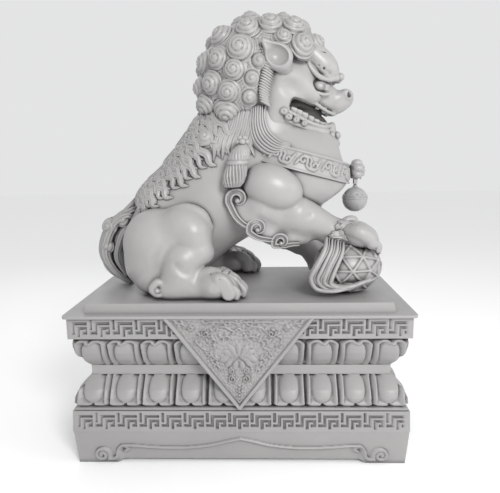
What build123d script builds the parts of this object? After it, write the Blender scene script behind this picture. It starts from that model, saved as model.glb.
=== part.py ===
from build123d import *

import os
from math import asin, atan2, cos, radians, sin

# Guardian lion (foo dog) on a tiered pedestal. Millimetres, +Z up, the origin is the centre of the
# pedestal's base on the floor. The lion faces +X with its right side towards -Y, and its right
# forepaw rests on an embroidered ball. The pedestal is a stack of hollow ring courses closed by a
# deck, and the figure stands on it with a slab of its own.

# ---- driving dimensions ------------------------------------------------------------------------
BAND_WIDTH = 480.0  # the fret bands, along X
BAND_DEPTH = 268.8  # the fret bands, along Y
CAVITY_WIDTH = 392.0  # the hollow inside the ring courses
CAVITY_DEPTH = 184.0

FOOT_TOP = 51.0
LOWER_BAND_TOP = 81.5
LOWER_LOTUS_TOP = 128.0
WAIST_TOP = 142.0
UPPER_LOTUS_TOP = 189.5
UPPER_BAND_TOP = 220.0
DECK_TOP = 224.0
SLAB_TOP = 237.6

FOOT_CORNER = 64.0  # how far each corner foot reaches along a side
FOOT_RELIEF = 5.0  # how far the apron between the corner feet stays off the floor
DECK_LIP = 12.0  # the deck's rim inside the upper band
SLAB_WIDTH = 437.0
SLAB_DEPTH = 252.0
SLAB_BATTER = 10.0  # degrees

CLOTH_THICKNESS = 5.0
CLOTH_HALF_TOP = 105.0  # the long sides' altar cloth
CLOTH_DROP = 136.0
SIDE_CLOTH_HALF_TOP = 62.0
SIDE_CLOTH_DROP = 92.0

MANE_CENTRE = (27.0, 0.0, 325.0)  # heights of the figure are above its slab
MANE_RADIUS = 77.0
CURL_RADIUS = 14.5
CURL_RISE = 14.0
CURL_SINK = 6.0
CURL_ROUND = 8.0

MOUTH_CENTRE = (128.0, 0.0, 262.0)
MOUTH_GAPE = 14.0
MOUTH_SLOPE = 18.0  # degrees down towards the lips

BELL_RADIUS = 19.5
BELL_PIVOT = (180.0, 0.0, 160.5)
BELL_DROP = 26.5  # from the pivot to the bell's centre
PIN_RADIUS = 1.5
PIN_CLEARANCE = 0.05
LUG_RADIUS = 4.0
LUG_THICKNESS = 4.0

BALL_CENTRE = (162.0, -52.0, 39.0)
BALL_RADIUS = 50.0
BALL_HALF_HEIGHT = 40.0

RIGHT = -1  # the lion's right side is towards -Y
LEFT = 1


# ---- shared shapes -----------------------------------------------------------------------------
def over_slab(point):
    """A point of the figure, given by its height above the slab, in the part's own frame."""
    x, y, height = point
    return Vector(x, y, SLAB_TOP + height)


def bone(start, end, start_radius, end_radius):
    """Adds two balls and the cone that is tangent to both."""
    a = over_slab(start)
    b = over_slab(end)
    run = (b - a).length
    along = (b - a).normalized()
    across = along.cross(Vector(0, 0, 1) if abs(along.Z) < 0.9 else Vector(1, 0, 0)).normalized()
    lean = asin((start_radius - end_radius) / run)
    middle_a = (lean - radians(90)) / 2
    middle_b = (lean + radians(90)) / 2
    with BuildSketch(Plane(origin=a, x_dir=along, z_dir=across)) as outline:
        with BuildLine():
            touch_a = (start_radius * sin(lean), start_radius * cos(lean))
            touch_b = (run + end_radius * sin(lean), end_radius * cos(lean))
            ThreePointArc(
                (-start_radius, 0),
                (start_radius * sin(middle_a), start_radius * cos(middle_a)),
                touch_a,
            )
            Line(touch_a, touch_b)
            ThreePointArc(
                touch_b,
                (run + end_radius * sin(middle_b), end_radius * cos(middle_b)),
                (run + end_radius, 0),
            )
            Line((run + end_radius, 0), (-start_radius, 0))
        make_face()
    revolve(outline.sketch, axis=Axis(a, along))


def flattened_ball(centre, radius, half_height):
    """Adds a ball pressed flat along Z: a rounded rim between two tangent domes."""
    rim = 0.6 * radius
    rim_centre = radius - rim
    spare = radius - half_height
    dome_drop = (2 * spare * rim_centre - spare**2) / (2 * (rim_centre - spare))
    dome = half_height + dome_drop
    lean = atan2(dome_drop, rim_centre)
    touch = (rim_centre + rim * cos(lean), rim * sin(lean))
    halfway = (radians(90) + lean) / 2
    with BuildSketch(Plane(origin=over_slab(centre), x_dir=(1, 0, 0), z_dir=(0, -1, 0))) as outline:
        with BuildLine():
            for up in (-1, 1):
                ThreePointArc(
                    (0, up * half_height),
                    (dome * cos(halfway), up * (dome * sin(halfway) - dome_drop)),
                    (touch[0], up * touch[1]),
                )
            ThreePointArc((touch[0], -touch[1]), (radius, 0), touch)
            Line((0, -half_height), (0, half_height))
        make_face()
    revolve(outline.sketch, axis=Axis(over_slab(centre), (0, 0, 1)))


def ball(centre, radius):
    with Locations(over_slab(centre)):
        Sphere(radius)


def without(*pieces):
    """Cuts away the neighbours that this piece is fitted round."""
    for piece in pieces:
        add(piece.part, mode=Mode.SUBTRACT)


def largest_only(builder):
    """Drops the crumbs that a cut leaves beside the piece."""
    add(builder.part.solids().sort_by(SortBy.VOLUME)[-1], mode=Mode.REPLACE)


def level_with_slab():
    """Cuts the piece flat where it stands on the slab."""
    split(bisect_by=Plane.XY.offset(SLAB_TOP), keep=Keep.TOP)


def write(builder, name):
    builder.part.label = name
    export_step(builder.part, f"parts/{name}.step")


def course(levels):
    """A ring course: rectangles of (height, width, depth) joined by flat faces, round the cavity."""
    with BuildPart() as ring:
        for height, width, depth in levels:
            with BuildSketch(Plane.XY.offset(height)):
                Rectangle(width, depth)
        loft(ruled=True)
        low = levels[0][0]
        high = levels[-1][0]
        with BuildSketch(Plane.XY.offset(low)):
            Rectangle(CAVITY_WIDTH, CAVITY_DEPTH)
        extrude(amount=high - low, mode=Mode.SUBTRACT)
    return ring


# ---- pedestal ----------------------------------------------------------------------------------
pedestal_foot = course([(0, BAND_WIDTH - 6, BAND_DEPTH - 6), (FOOT_TOP, BAND_WIDTH + 2, BAND_DEPTH + 2)])
with BuildPart() as foot_gaps:
    with BuildSketch():
        Rectangle(BAND_WIDTH - 2 * FOOT_CORNER, BAND_DEPTH + 20)
        Rectangle(BAND_WIDTH + 20, BAND_DEPTH - 2 * FOOT_CORNER)
    extrude(amount=FOOT_RELIEF)
with pedestal_foot:
    add(foot_gaps.part, mode=Mode.SUBTRACT)

lower_fret_band = course([(FOOT_TOP, BAND_WIDTH + 2, BAND_DEPTH + 2), (LOWER_BAND_TOP, BAND_WIDTH, BAND_DEPTH)])
lower_lotus_course = course(
    [
        (LOWER_BAND_TOP, BAND_WIDTH - 4, BAND_DEPTH - 4),
        (LOWER_BAND_TOP + 4, BAND_WIDTH - 4, BAND_DEPTH - 4),
        (LOWER_BAND_TOP + 14, BAND_WIDTH - 6, BAND_DEPTH - 6),
        (LOWER_LOTUS_TOP - 18, BAND_WIDTH - 16, BAND_DEPTH - 16),
        (LOWER_LOTUS_TOP, BAND_WIDTH - 44, BAND_DEPTH - 44),
    ]
)
waist_course = course(
    [(LOWER_LOTUS_TOP, BAND_WIDTH - 46, BAND_DEPTH - 46), (WAIST_TOP, BAND_WIDTH - 46, BAND_DEPTH - 46)]
)
upper_lotus_course = course(
    [
        (WAIST_TOP, BAND_WIDTH - 44, BAND_DEPTH - 44),
        (WAIST_TOP + 14, BAND_WIDTH - 28, BAND_DEPTH - 28),
        (UPPER_LOTUS_TOP - 14, BAND_WIDTH - 12, BAND_DEPTH - 12),
        (UPPER_LOTUS_TOP, BAND_WIDTH - 8, BAND_DEPTH - 8),
    ]
)
upper_fret_band = course([(UPPER_LOTUS_TOP, BAND_WIDTH, BAND_DEPTH), (UPPER_BAND_TOP, BAND_WIDTH, BAND_DEPTH)])

with BuildPart() as pedestal_deck:
    with BuildSketch(Plane.XY.offset(UPPER_BAND_TOP)):
        RectangleRounded(BAND_WIDTH + 12, BAND_DEPTH + 12, 6)
    extrude(amount=DECK_TOP - UPPER_BAND_TOP)
    with BuildSketch(Plane.XY.offset(UPPER_BAND_TOP)):
        Rectangle(CAVITY_WIDTH, CAVITY_DEPTH)
    extrude(amount=-DECK_LIP)


def altar_cloth(plane, half_top, drop):
    """A triangle of cloth, point down, hanging flat from the top of the upper fret band."""
    with BuildPart() as cloth:
        with BuildSketch(plane):
            with BuildLine():
                Polyline((-half_top, 0), (half_top, 0), (0, -drop), close=True)
            make_face()
        extrude(amount=CLOTH_THICKNESS)
    return cloth


side_y = BAND_DEPTH / 2
side_x = BAND_WIDTH / 2
altar_cloths = {
    "altar_cloth_front": altar_cloth(
        Plane(origin=(0, -side_y, UPPER_BAND_TOP), x_dir=(1, 0, 0), z_dir=(0, -1, 0)),
        CLOTH_HALF_TOP,
        CLOTH_DROP,
    ),
    "altar_cloth_back": altar_cloth(
        Plane(origin=(0, side_y, UPPER_BAND_TOP), x_dir=(-1, 0, 0), z_dir=(0, 1, 0)),
        CLOTH_HALF_TOP,
        CLOTH_DROP,
    ),
    "altar_cloth_right": altar_cloth(
        Plane(origin=(side_x, 0, UPPER_BAND_TOP), x_dir=(0, 1, 0), z_dir=(1, 0, 0)),
        SIDE_CLOTH_HALF_TOP,
        SIDE_CLOTH_DROP,
    ),
    "altar_cloth_left": altar_cloth(
        Plane(origin=(-side_x, 0, UPPER_BAND_TOP), x_dir=(0, -1, 0), z_dir=(-1, 0, 0)),
        SIDE_CLOTH_HALF_TOP,
        SIDE_CLOTH_DROP,
    ),
}

# ---- figure: head ------------------------------------------------------------------------------
with BuildPart() as head:
    bone((58, 0, 312), (100, 0, 302), 64, 50)  # skull and cheeks
    bone((104, 0, 296), (146, 0, 284), 44, 27)  # muzzle
    bone((146, 0, 286), (160, 0, 294), 22, 16)  # turned-up nose

mouth_plane = Plane(Location(over_slab(MOUTH_CENTRE), (0, MOUTH_SLOPE, 0)))
with BuildPart() as mouth_gap:
    with BuildSketch(mouth_plane.offset(-MOUTH_GAPE / 2)):
        Rectangle(90, 130)
    extrude(amount=MOUTH_GAPE)
with BuildPart() as below_mouth:
    with BuildSketch(mouth_plane.offset(-MOUTH_GAPE / 2)):
        Rectangle(90, 130)
    extrude(amount=-60)
with head:
    without(mouth_gap, below_mouth)

with BuildPart() as lower_jaw:
    bone((92, 0, 248), (130, 0, 239), 31, 21)
    without(head, mouth_gap)

with BuildPart() as tongue:
    with Locations(mouth_plane):
        with Locations((-14, 0, -4), (-2, 0, -4), (8, 0, -4)):
            Sphere(10)
    without(head, lower_jaw)

with BuildPart() as lower_teeth:
    for side in (RIGHT, LEFT):
        with Locations(mouth_plane):
            with Locations([(9 * step - 30, side * (24 - 2.4 * step), -MOUTH_GAPE / 2) for step in range(5)]):
                Box(6, 5, 9)
    without(head, lower_jaw, tongue)

with BuildPart() as eyes:
    for side in (RIGHT, LEFT):
        ball((132, side * 27, 303), 12)
    without(head)

with BuildPart() as brows:
    for side in (RIGHT, LEFT):
        bone((104, side * 30, 346), (146, side * 15, 322), 15, 11)
        ball((156, side * 12, 320), 6)
    without(head, eyes)


def ear(side):
    """A leaf-shaped ear, hollowed on its outer face."""
    with BuildPart() as leaf:
        bone((78, side * 66, 330), (44, side * 76, 352), 17, 9)
        with Locations(over_slab((68, side * 94, 342))):
            Sphere(19, mode=Mode.SUBTRACT)
        without(head)
    return leaf


right_ear = ear(RIGHT)
left_ear = ear(LEFT)

# ---- figure: slab and body ---------------------------------------------------------------------
with BuildPart() as figure_slab:
    with BuildSketch(Plane.XY.offset(DECK_TOP)):
        Rectangle(SLAB_WIDTH, SLAB_DEPTH)
    extrude(amount=SLAB_TOP - DECK_TOP, taper=SLAB_BATTER)

with BuildPart() as torso:
    bone((-112, 0, 84), (-38, 0, 142), 85, 80)  # rump and loins
    bone((-36, 0, 144), (84, 0, 184), 79, 77)  # ribs and chest
    bone((-30, 0, 172), (40, 0, 226), 73, 62)  # withers
    bone((86, 0, 190), (84, 0, 226), 66, 54)  # throat
    without(head, lower_jaw, tongue, lower_teeth)
    level_with_slab()

with BuildPart() as beard:
    for side in (RIGHT, LEFT):
        ball((143, side * 10, 221), 8)
        ball((133, side * 19, 220), 7)
    ball((152, 0, 232), 7)
    ball((149, 0, 219), 8)
    without(torso, head, lower_jaw)


def hind_leg(side, shift):
    """A folded hind leg, with its long foot flat on the slab."""
    with BuildPart() as leg:
        bone((shift - 118, side * 56, 66), (shift - 72, side * 70, 98), 60, 40)
        bone((shift - 74, side * 82, 84), (shift - 82, side * 90, 34), 34, 30)
        bone((shift - 98, side * 91, 18), (shift - 26, side * 92, 20), 22, 24)
        for toe, reach in enumerate((-14, -8, -10, -18)):
            ball((shift + reach, side * (75 + 12 * toe), 16), 12)
        level_with_slab()
        without(torso)
    return leg


right_hind_leg = hind_leg(RIGHT, 0)
left_hind_leg = hind_leg(LEFT, 18)

with BuildPart() as embroidered_ball:
    flattened_ball(BALL_CENTRE, BALL_RADIUS, BALL_HALF_HEIGHT)
    level_with_slab()

with BuildPart() as ball_ribbon:
    flattened_ball(BALL_CENTRE, BALL_RADIUS + 4, BALL_HALF_HEIGHT + 4)
    with Locations(Location(over_slab((BALL_CENTRE[0] - 22, BALL_CENTRE[1], 34)), (0, 28, 0))):
        Box(22, 3 * BALL_RADIUS, 3 * BALL_RADIUS, mode=Mode.INTERSECT)
    without(embroidered_ball)
    level_with_slab()

with BuildPart() as right_foreleg:
    bone((40, -66, 156), (66, -68, 150), 37, 35)  # shoulder
    bone((42, -62, 128), (98, -62, 104), 38, 31)
    bone((98, -61, 104), (146, -56, 86), 30, 21)
    for toe in range(4):
        bone((160, -84 + 20 * toe, 90), (184, -86 + 22 * toe, 74), 12, 11)
    without(torso, embroidered_ball, ball_ribbon)

with BuildPart() as left_foreleg:
    bone((44, 64, 152), (66, 66, 146), 38, 36)
    bone((60, 62, 138), (124, 68, 40), 36, 24)
    bone((128, 68, 20), (152, 68, 16), 24, 20)
    for toe in range(4):
        ball((166, 44 + 16 * toe, 13), 12)
    level_with_slab()
    without(torso, embroidered_ball, ball_ribbon)

# ---- figure: mane, hair and tail ---------------------------------------------------------------
with BuildPart() as mane_core:
    ball(MANE_CENTRE, MANE_RADIUS)
    bone((16, 0, 264), (-6, 0, 238), 57, 48)
    without(torso, head, right_ear, left_ear)
    largest_only(mane_core)


def mane_direction(azimuth, elevation):
    """Azimuth 0 is forwards and 90 is to the left."""
    a = radians(azimuth)
    e = radians(elevation)
    return Vector(cos(e) * cos(a), cos(e) * sin(a), sin(e))


# rows of curls: elevation, and the azimuths on the left side; 0 and 180 stand on the centre line
CURL_ROWS = (
    (88, (0,)),
    (58, (24, 76, 128, 180)),
    (34, (14, 50, 86, 118, 150, 180)),
    (13, (136, 166)),
    (2, (113,)),
    (-9, (146, 180)),
    (-20, (118,)),
    (-31, (163,)),
    (-40, (134,)),
)


def curl(azimuth, elevation):
    """A snail curl: a round button that stands on the mane's ball."""
    outwards = mane_direction(azimuth, elevation)
    foot = over_slab(MANE_CENTRE) + outwards * (MANE_RADIUS - CURL_SINK)
    with BuildPart() as snail:
        with BuildSketch(Plane(origin=foot, z_dir=outwards)):
            Circle(CURL_RADIUS)
        extrude(amount=CURL_SINK + CURL_RISE)
        fillet(snail.faces().sort_by(Axis(foot, outwards))[-1].edges(), CURL_ROUND)
        without(mane_core, torso, head, right_ear, left_ear)
        largest_only(snail)
    return snail


with BuildPart() as mane_curls:
    for elevation, azimuths in CURL_ROWS:
        for azimuth in azimuths:
            for side in (RIGHT, LEFT) if azimuth % 180 else (LEFT,):
                add(curl(side * azimuth, elevation).part)

with BuildPart() as back_hair:
    for spread in (-30, 0, 30):
        bone((-34, spread, 214), (-118, spread, 132), 44, 36)
        bone((-118, spread, 130), (-162, spread / 2, 92), 36, 28)
    without(torso, mane_core, mane_curls, right_hind_leg, left_hind_leg)

with BuildPart() as tail:
    bone((-196, 0, 92), (-206, 0, 52), 17, 18)
    bone((-206, 0, 52), (-192, 0, 12), 17, 13)
    bone((-182, 0, 100), (-198, 0, 84), 18, 16)
    level_with_slab()
    without(torso, back_hair, right_hind_leg, left_hind_leg)

# ---- figure: collar, bell and trimmings --------------------------------------------------------
collar_plane = Plane(origin=over_slab((86, 0, 196)), x_dir=(cos(radians(16)), 0, -sin(radians(16))), z_dir=(sin(radians(16)), 0, cos(radians(16))))
with BuildPart() as collar:
    with BuildSketch(collar_plane.offset(-14)):
        Ellipse(82, 81)
    extrude(amount=28)
    without(torso, head, mane_core, right_foreleg, left_foreleg, back_hair)

with BuildPart() as collar_flower:
    with Locations(Location(over_slab((176, 0, 180)), (0, 74, 0))):
        Cylinder(17, 22)
    with Locations(over_slab(BELL_PIVOT)):
        Box(4 * LUG_RADIUS, 4 * LUG_RADIUS, 3 * LUG_RADIUS, mode=Mode.SUBTRACT)
    without(torso, collar)

with BuildPart() as bell_pin:
    pin_reach = 2 * LUG_RADIUS + 2
    pin_centre = over_slab(BELL_PIVOT)
    with Locations(Location(pin_centre, (90, 0, 0))):
        Cylinder(PIN_RADIUS, pin_reach)
    for side in (RIGHT, LEFT):
        with Locations(pin_centre + Vector(0, side * pin_reach / 2, 5)):
            Box(3.4 * PIN_RADIUS, 2 * PIN_RADIUS, 14)
    without(collar_flower, collar)

with BuildPart() as bell:
    bell_centre = over_slab(BELL_PIVOT) - Vector(0, 0, BELL_DROP)
    with Locations(bell_centre):
        Sphere(BELL_RADIUS)
    with Locations(bell_centre + Vector(0, 0, 1)):
        Cylinder(BELL_RADIUS + 1, 2.4)
    with Locations(bell_centre + Vector(0, 0, BELL_DROP / 2)):
        Box(2 * LUG_RADIUS, LUG_THICKNESS, BELL_DROP)
    with Locations(Location(over_slab(BELL_PIVOT), (90, 0, 0))):
        Cylinder(LUG_RADIUS, LUG_THICKNESS)
        Cylinder(PIN_RADIUS + PIN_CLEARANCE, LUG_THICKNESS, mode=Mode.SUBTRACT)


def tassel(side, neighbours):
    """A tassel hung from the collar: knot, capped dome and flaring fringe."""
    with BuildPart() as hanging:
        ball((8, side * 88, 206), 7)
        ball((5, side * 92, 188), 13)
        with Locations(over_slab((5, side * 92, 175))):
            Cone(9, 12.5, 24)
        without(*neighbours)
    return hanging


right_tassel = tassel(RIGHT, (torso, right_foreleg, mane_core, collar))
left_tassel = tassel(LEFT, (torso, left_foreleg, mane_core, collar))

# a row of volutes runs along the back of each foreleg: X, height over the slab and radius of each
SCROLL_INNER_Y = 74.0
SCROLL_THICKNESS = 12.0
VOLUTES_RIGHT = ((-2, 142, 13), (27, 101, 11), (62, 80, 9), (86, 76, 5))
VOLUTES_LEFT = ((8, 128, 13), (38, 88, 11), (66, 58, 9))


def leg_scrolls(side, volutes, neighbours):
    """A strip of cloud scrolls along the outer face of a foreleg."""
    with BuildPart() as scrolls:
        with BuildSketch(Plane(origin=(0, side * SCROLL_INNER_Y, SLAB_TOP), x_dir=(1, 0, 0), z_dir=(0, -1, 0))):
            for start, end in zip(volutes, volutes[1:]):
                with BuildSketch(mode=Mode.PRIVATE) as link:
                    for x, height, radius in (start, end):
                        with Locations((x, height)):
                            Circle(radius)
                    make_hull()
                add(link.sketch)
        extrude(amount=-side * SCROLL_THICKNESS)
        without(*neighbours)
    return scrolls


right_leg_scrolls = leg_scrolls(RIGHT, VOLUTES_RIGHT, (torso, right_foreleg, right_tassel, embroidered_ball, ball_ribbon))
left_leg_scrolls = leg_scrolls(LEFT, VOLUTES_LEFT, (torso, left_foreleg, left_tassel))

# ---- written pieces ----------------------------------------------------------------------------
os.makedirs("parts", exist_ok=True)
pieces = {
    "pedestal_foot": pedestal_foot,
    "lower_fret_band": lower_fret_band,
    "lower_lotus_course": lower_lotus_course,
    "waist_course": waist_course,
    "upper_lotus_course": upper_lotus_course,
    "upper_fret_band": upper_fret_band,
    "pedestal_deck": pedestal_deck,
    **altar_cloths,
    "figure_slab": figure_slab,
    "torso": torso,
    "right_hind_leg": right_hind_leg,
    "left_hind_leg": left_hind_leg,
    "right_foreleg": right_foreleg,
    "left_foreleg": left_foreleg,
    "right_leg_scrolls": right_leg_scrolls,
    "left_leg_scrolls": left_leg_scrolls,
    "embroidered_ball": embroidered_ball,
    "ball_ribbon": ball_ribbon,
    "head": head,
    "lower_jaw": lower_jaw,
    "tongue": tongue,
    "lower_teeth": lower_teeth,
    "eyes": eyes,
    "brows": brows,
    "right_ear": right_ear,
    "left_ear": left_ear,
    "beard": beard,
    "mane_core": mane_core,
    "mane_curls": mane_curls,
    "back_hair": back_hair,
    "tail": tail,
    "collar": collar,
    "collar_flower": collar_flower,
    "right_tassel": right_tassel,
    "left_tassel": left_tassel,
    "bell_pin": bell_pin,
    "bell": bell,
}
for name, builder in pieces.items():
    write(builder, name)
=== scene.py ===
import bpy
import numpy as np
import openvdb
from mathutils import Matrix, Vector


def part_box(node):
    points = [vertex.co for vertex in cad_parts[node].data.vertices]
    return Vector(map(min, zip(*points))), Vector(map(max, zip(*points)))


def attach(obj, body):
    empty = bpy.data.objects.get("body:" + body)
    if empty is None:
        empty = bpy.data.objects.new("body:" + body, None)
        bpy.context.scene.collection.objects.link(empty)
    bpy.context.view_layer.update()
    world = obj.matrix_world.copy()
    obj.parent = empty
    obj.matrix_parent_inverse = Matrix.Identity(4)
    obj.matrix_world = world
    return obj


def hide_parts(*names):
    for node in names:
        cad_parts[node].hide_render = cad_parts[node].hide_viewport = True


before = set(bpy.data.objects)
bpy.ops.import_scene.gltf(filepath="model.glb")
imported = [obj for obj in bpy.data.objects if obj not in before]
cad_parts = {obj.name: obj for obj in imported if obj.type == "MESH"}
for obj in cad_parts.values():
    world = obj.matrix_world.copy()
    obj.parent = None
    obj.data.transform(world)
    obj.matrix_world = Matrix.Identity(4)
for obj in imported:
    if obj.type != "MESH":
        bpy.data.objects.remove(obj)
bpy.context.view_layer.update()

# The figure is sculpted in millimetres: +X is where the lion looks, its right side is towards -Y, and
# heights are above its slab. The pedestal uses the same unit with heights above the floor.
BAND_LOW, BAND_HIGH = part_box("upper_fret_band")
HALF_LENGTH = 240.0  # of the upper fret band
HALF_DEPTH = 134.4
NARROWER = HALF_LENGTH - HALF_DEPTH  # how much less every course measures across than along, halved
DECK_HEIGHT = 220.0  # underside of the deck, where the fret band ends and the cloths hang
MM = (BAND_HIGH.x - BAND_LOW.x) / (2 * HALF_LENGTH)
SLAB_LOW, SLAB_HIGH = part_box("figure_slab")
FIGURE_ORIGIN = np.array([(SLAB_LOW.x + SLAB_HIGH.x) / 2, (SLAB_LOW.y + SLAB_HIGH.y) / 2, SLAB_HIGH.z])
FLOOR_ORIGIN = np.array([FIGURE_ORIGIN[0], FIGURE_ORIGIN[1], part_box("pedestal_foot")[0].z])
BOTH = (-1, 1)
SIDE_NAME = {-1: "right", 1: "left"}
FAR = 1e3

CAMERA_PLACE = (37.65, -824.18, 434.97)
CAMERA_TURN = (-1.68, 9.49, -0.72)  # yaw to the left, pitch down and roll, in degrees
CAMERA_LENS = 37.33
SENSOR_WIDTH = 36
FLOOR_REACH = 6.0  # metres


# ---- camera, light and floor ---------------------------------------------------------------------
def floor_point(x, y, z):
    """A place in metres, from millimetres about the middle of the pedestal's foot."""
    return Vector(FLOOR_ORIGIN) + MM * Vector((x, y, z))


def add_camera():
    data = bpy.data.cameras.new("camera")
    data.sensor_width = SENSOR_WIDTH
    data.lens = CAMERA_LENS
    data.clip_end = 50
    yaw, pitch, roll = np.radians(CAMERA_TURN)
    forward = Vector((np.sin(yaw) * np.cos(pitch), np.cos(yaw) * np.cos(pitch), -np.sin(pitch)))
    right = Vector((np.cos(yaw), -np.sin(yaw), 0))
    up = right.cross(forward)
    right_rolled = np.cos(roll) * right + np.sin(roll) * up
    up_rolled = np.cos(roll) * up - np.sin(roll) * right
    turn = Matrix((right_rolled, up_rolled, -forward)).transposed().to_4x4()
    camera = bpy.data.objects.new("camera", data)
    camera.matrix_world = Matrix.Translation(floor_point(*CAMERA_PLACE)) @ turn
    bpy.context.scene.collection.objects.link(camera)
    bpy.context.scene.camera = camera


def add_area_light(name, place, target, size, power):
    data = bpy.data.lights.new(name, "AREA")
    data.shape = "DISK"
    data.size = size
    data.energy = power
    lamp = bpy.data.objects.new(name, data)
    lamp.location = floor_point(*place)
    aim = floor_point(*target) - lamp.location
    lamp.rotation_euler = aim.to_track_quat("-Z", "Y").to_euler()
    bpy.context.scene.collection.objects.link(lamp)


def add_world():
    world = bpy.data.worlds.new("studio")
    world.use_nodes = True
    background = world.node_tree.nodes["Background"]
    background.inputs["Color"].default_value = (0.99, 0.995, 1.0, 1)
    background.inputs["Strength"].default_value = 0.78
    bpy.context.scene.world = world


def add_floor():
    mesh = bpy.data.meshes.new("floor")
    z = float(FLOOR_ORIGIN[2])
    corners = [(FLOOR_REACH * x, FLOOR_REACH * y, z) for x, y in ((-1, -1), (1, -1), (1, 1), (-1, 1))]
    mesh.from_pydata(corners, [], [(0, 1, 2, 3)])
    floor = bpy.data.objects.new("floor", mesh)
    bpy.context.scene.collection.objects.link(floor)
    material = bpy.data.materials.new("floor_paper")
    material.use_nodes = True
    shader = material.node_tree.nodes["Principled BSDF"]
    shader.inputs["Base Color"].default_value = (0.97, 0.97, 0.97, 1)
    shader.inputs["Roughness"].default_value = 0.9
    mesh.materials.append(material)


add_camera()
add_world()
add_floor()
add_area_light("key", (520, -1350, 1000), (20, 0, 280), 0.5, 17)
add_area_light("side", (1300, -500, 700), (0, 0, 300), 0.7, 3)
add_area_light("back", (-300, 900, 1000), (0, 0, 300), 1.0, 2)
bpy.context.scene.view_settings.view_transform = "Standard"


# ---- materials -----------------------------------------------------------------------------------
GLOSS_SPREAD = 0.1
SHELTER_REACH = 9  # how far the painted shade in recesses looks for a sheltering surface
GRAIN_HEIGHT = 0.6


def cast_finish_with_painted_shade(name, colour, painted_shade_colour, roughness):
    """Satin paint on a casting: painted shade in the hollows and creases, faint mottling, edges lightened by
    wear and a painted highlight, and a fine grain.
    """
    material = bpy.data.materials.new(name)
    material.use_nodes = True
    nodes = material.node_tree.nodes
    links = material.node_tree.links
    shader = nodes["Principled BSDF"]
    place = nodes.new("ShaderNodeTexCoord").outputs["Object"]
    pointiness = nodes.new("ShaderNodeNewGeometry").outputs["Pointiness"]

    def noise(scale, detail):
        node = nodes.new("ShaderNodeTexNoise")
        node.inputs["Scale"].default_value = scale
        node.inputs["Detail"].default_value = detail
        links.new(place, node.inputs["Vector"])
        return node.outputs["Fac"]

    def ramp(value, positions, colours):
        node = nodes.new("ShaderNodeValToRGB")
        for element, position, shade in zip(node.color_ramp.elements, positions, colours):
            element.position = position
            element.color = (*shade, 1)
        links.new(value, node.inputs["Fac"])
        return node.outputs["Color"]

    def mapped(value, to_range, from_range=(0, 1)):
        node = nodes.new("ShaderNodeMapRange")
        for word, number in zip(("From Min", "From Max", "To Min", "To Max"), (*from_range, *to_range)):
            node.inputs[word].default_value = number
        links.new(value, node.inputs["Value"])
        return node.outputs["Result"]

    def mixed(factor, base, other):
        node = nodes.new("ShaderNodeMix")
        node.data_type = "RGBA"
        node.inputs["B"].default_value = (*other, 1)
        links.new(factor, node.inputs["Factor"])
        links.new(base, node.inputs["A"])
        return node.outputs["Result"]

    darker, lighter, edge_wear_and_highlight_colour = ([share * c for c in colour] for share in (0.94, 1.05, 1.22))
    shelter = nodes.new("ShaderNodeAmbientOcclusion")
    shelter.samples = 6
    shelter.inputs["Distance"].default_value = SHELTER_REACH * MM
    tint = ramp(noise(11, 5), (0.3, 0.7), (darker, lighter))
    # painted shade: the colour darkens towards the shade colour where ambient occlusion finds recesses, and
    # again in creases of low pointiness
    recess_shaded = mixed(mapped(shelter.outputs["AO"], (1, 0), (0.35, 0.85)), tint, painted_shade_colour)
    crease_shaded = mixed(mapped(pointiness, (0.75, 0), (0.40, 0.495)), recess_shaded, painted_shade_colour)
    # wear and painted highlight: convex edges of high pointiness are lightened
    edge_wear_and_highlight = ramp(pointiness, (0.5, 0.6), ((0, 0, 0), (0.35, 0.35, 0.35)))
    links.new(mixed(edge_wear_and_highlight, crease_shaded, edge_wear_and_highlight_colour), shader.inputs["Base Color"])

    gloss = mapped(noise(35, 3), (roughness - GLOSS_SPREAD, roughness + GLOSS_SPREAD))
    links.new(gloss, shader.inputs["Roughness"])
    bump = nodes.new("ShaderNodeBump")
    bump.inputs["Strength"].default_value = 0.12
    bump.inputs["Distance"].default_value = GRAIN_HEIGHT * MM
    links.new(noise(420, 4), bump.inputs["Height"])
    links.new(bump.outputs["Normal"], shader.inputs["Normal"])
    return material


# colour, the painted shade colour for hollows and creases, and roughness
PAINT = cast_finish_with_painted_shade("satin_white_paint", (0.325, 0.319, 0.315), (0.06, 0.058, 0.056), 0.38)
PLINTH_PAINT = cast_finish_with_painted_shade("satin_plinth_paint", (0.285, 0.28, 0.277), (0.065, 0.063, 0.062), 0.42)
BELL_PAINT = cast_finish_with_painted_shade("satin_bell_paint", (0.315, 0.312, 0.31), (0.08, 0.08, 0.08), 0.32)
# painted shade: a near-black finish that stands for the shadow inside the open mouth
MOUTH_PAINTED_SHADE = cast_finish_with_painted_shade("painted_mouth_shade", (0.045, 0.04, 0.037), (0.012, 0.011, 0.01), 0.6)


# ---- meshes --------------------------------------------------------------------------------------
def over_slab(points):
    """Metres, from millimetres over the figure's slab."""
    return FIGURE_ORIGIN + MM * np.asarray(points, float)


def over_floor(points):
    """Metres, from millimetres over the floor."""
    return FLOOR_ORIGIN + MM * np.asarray(points, float)


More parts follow.
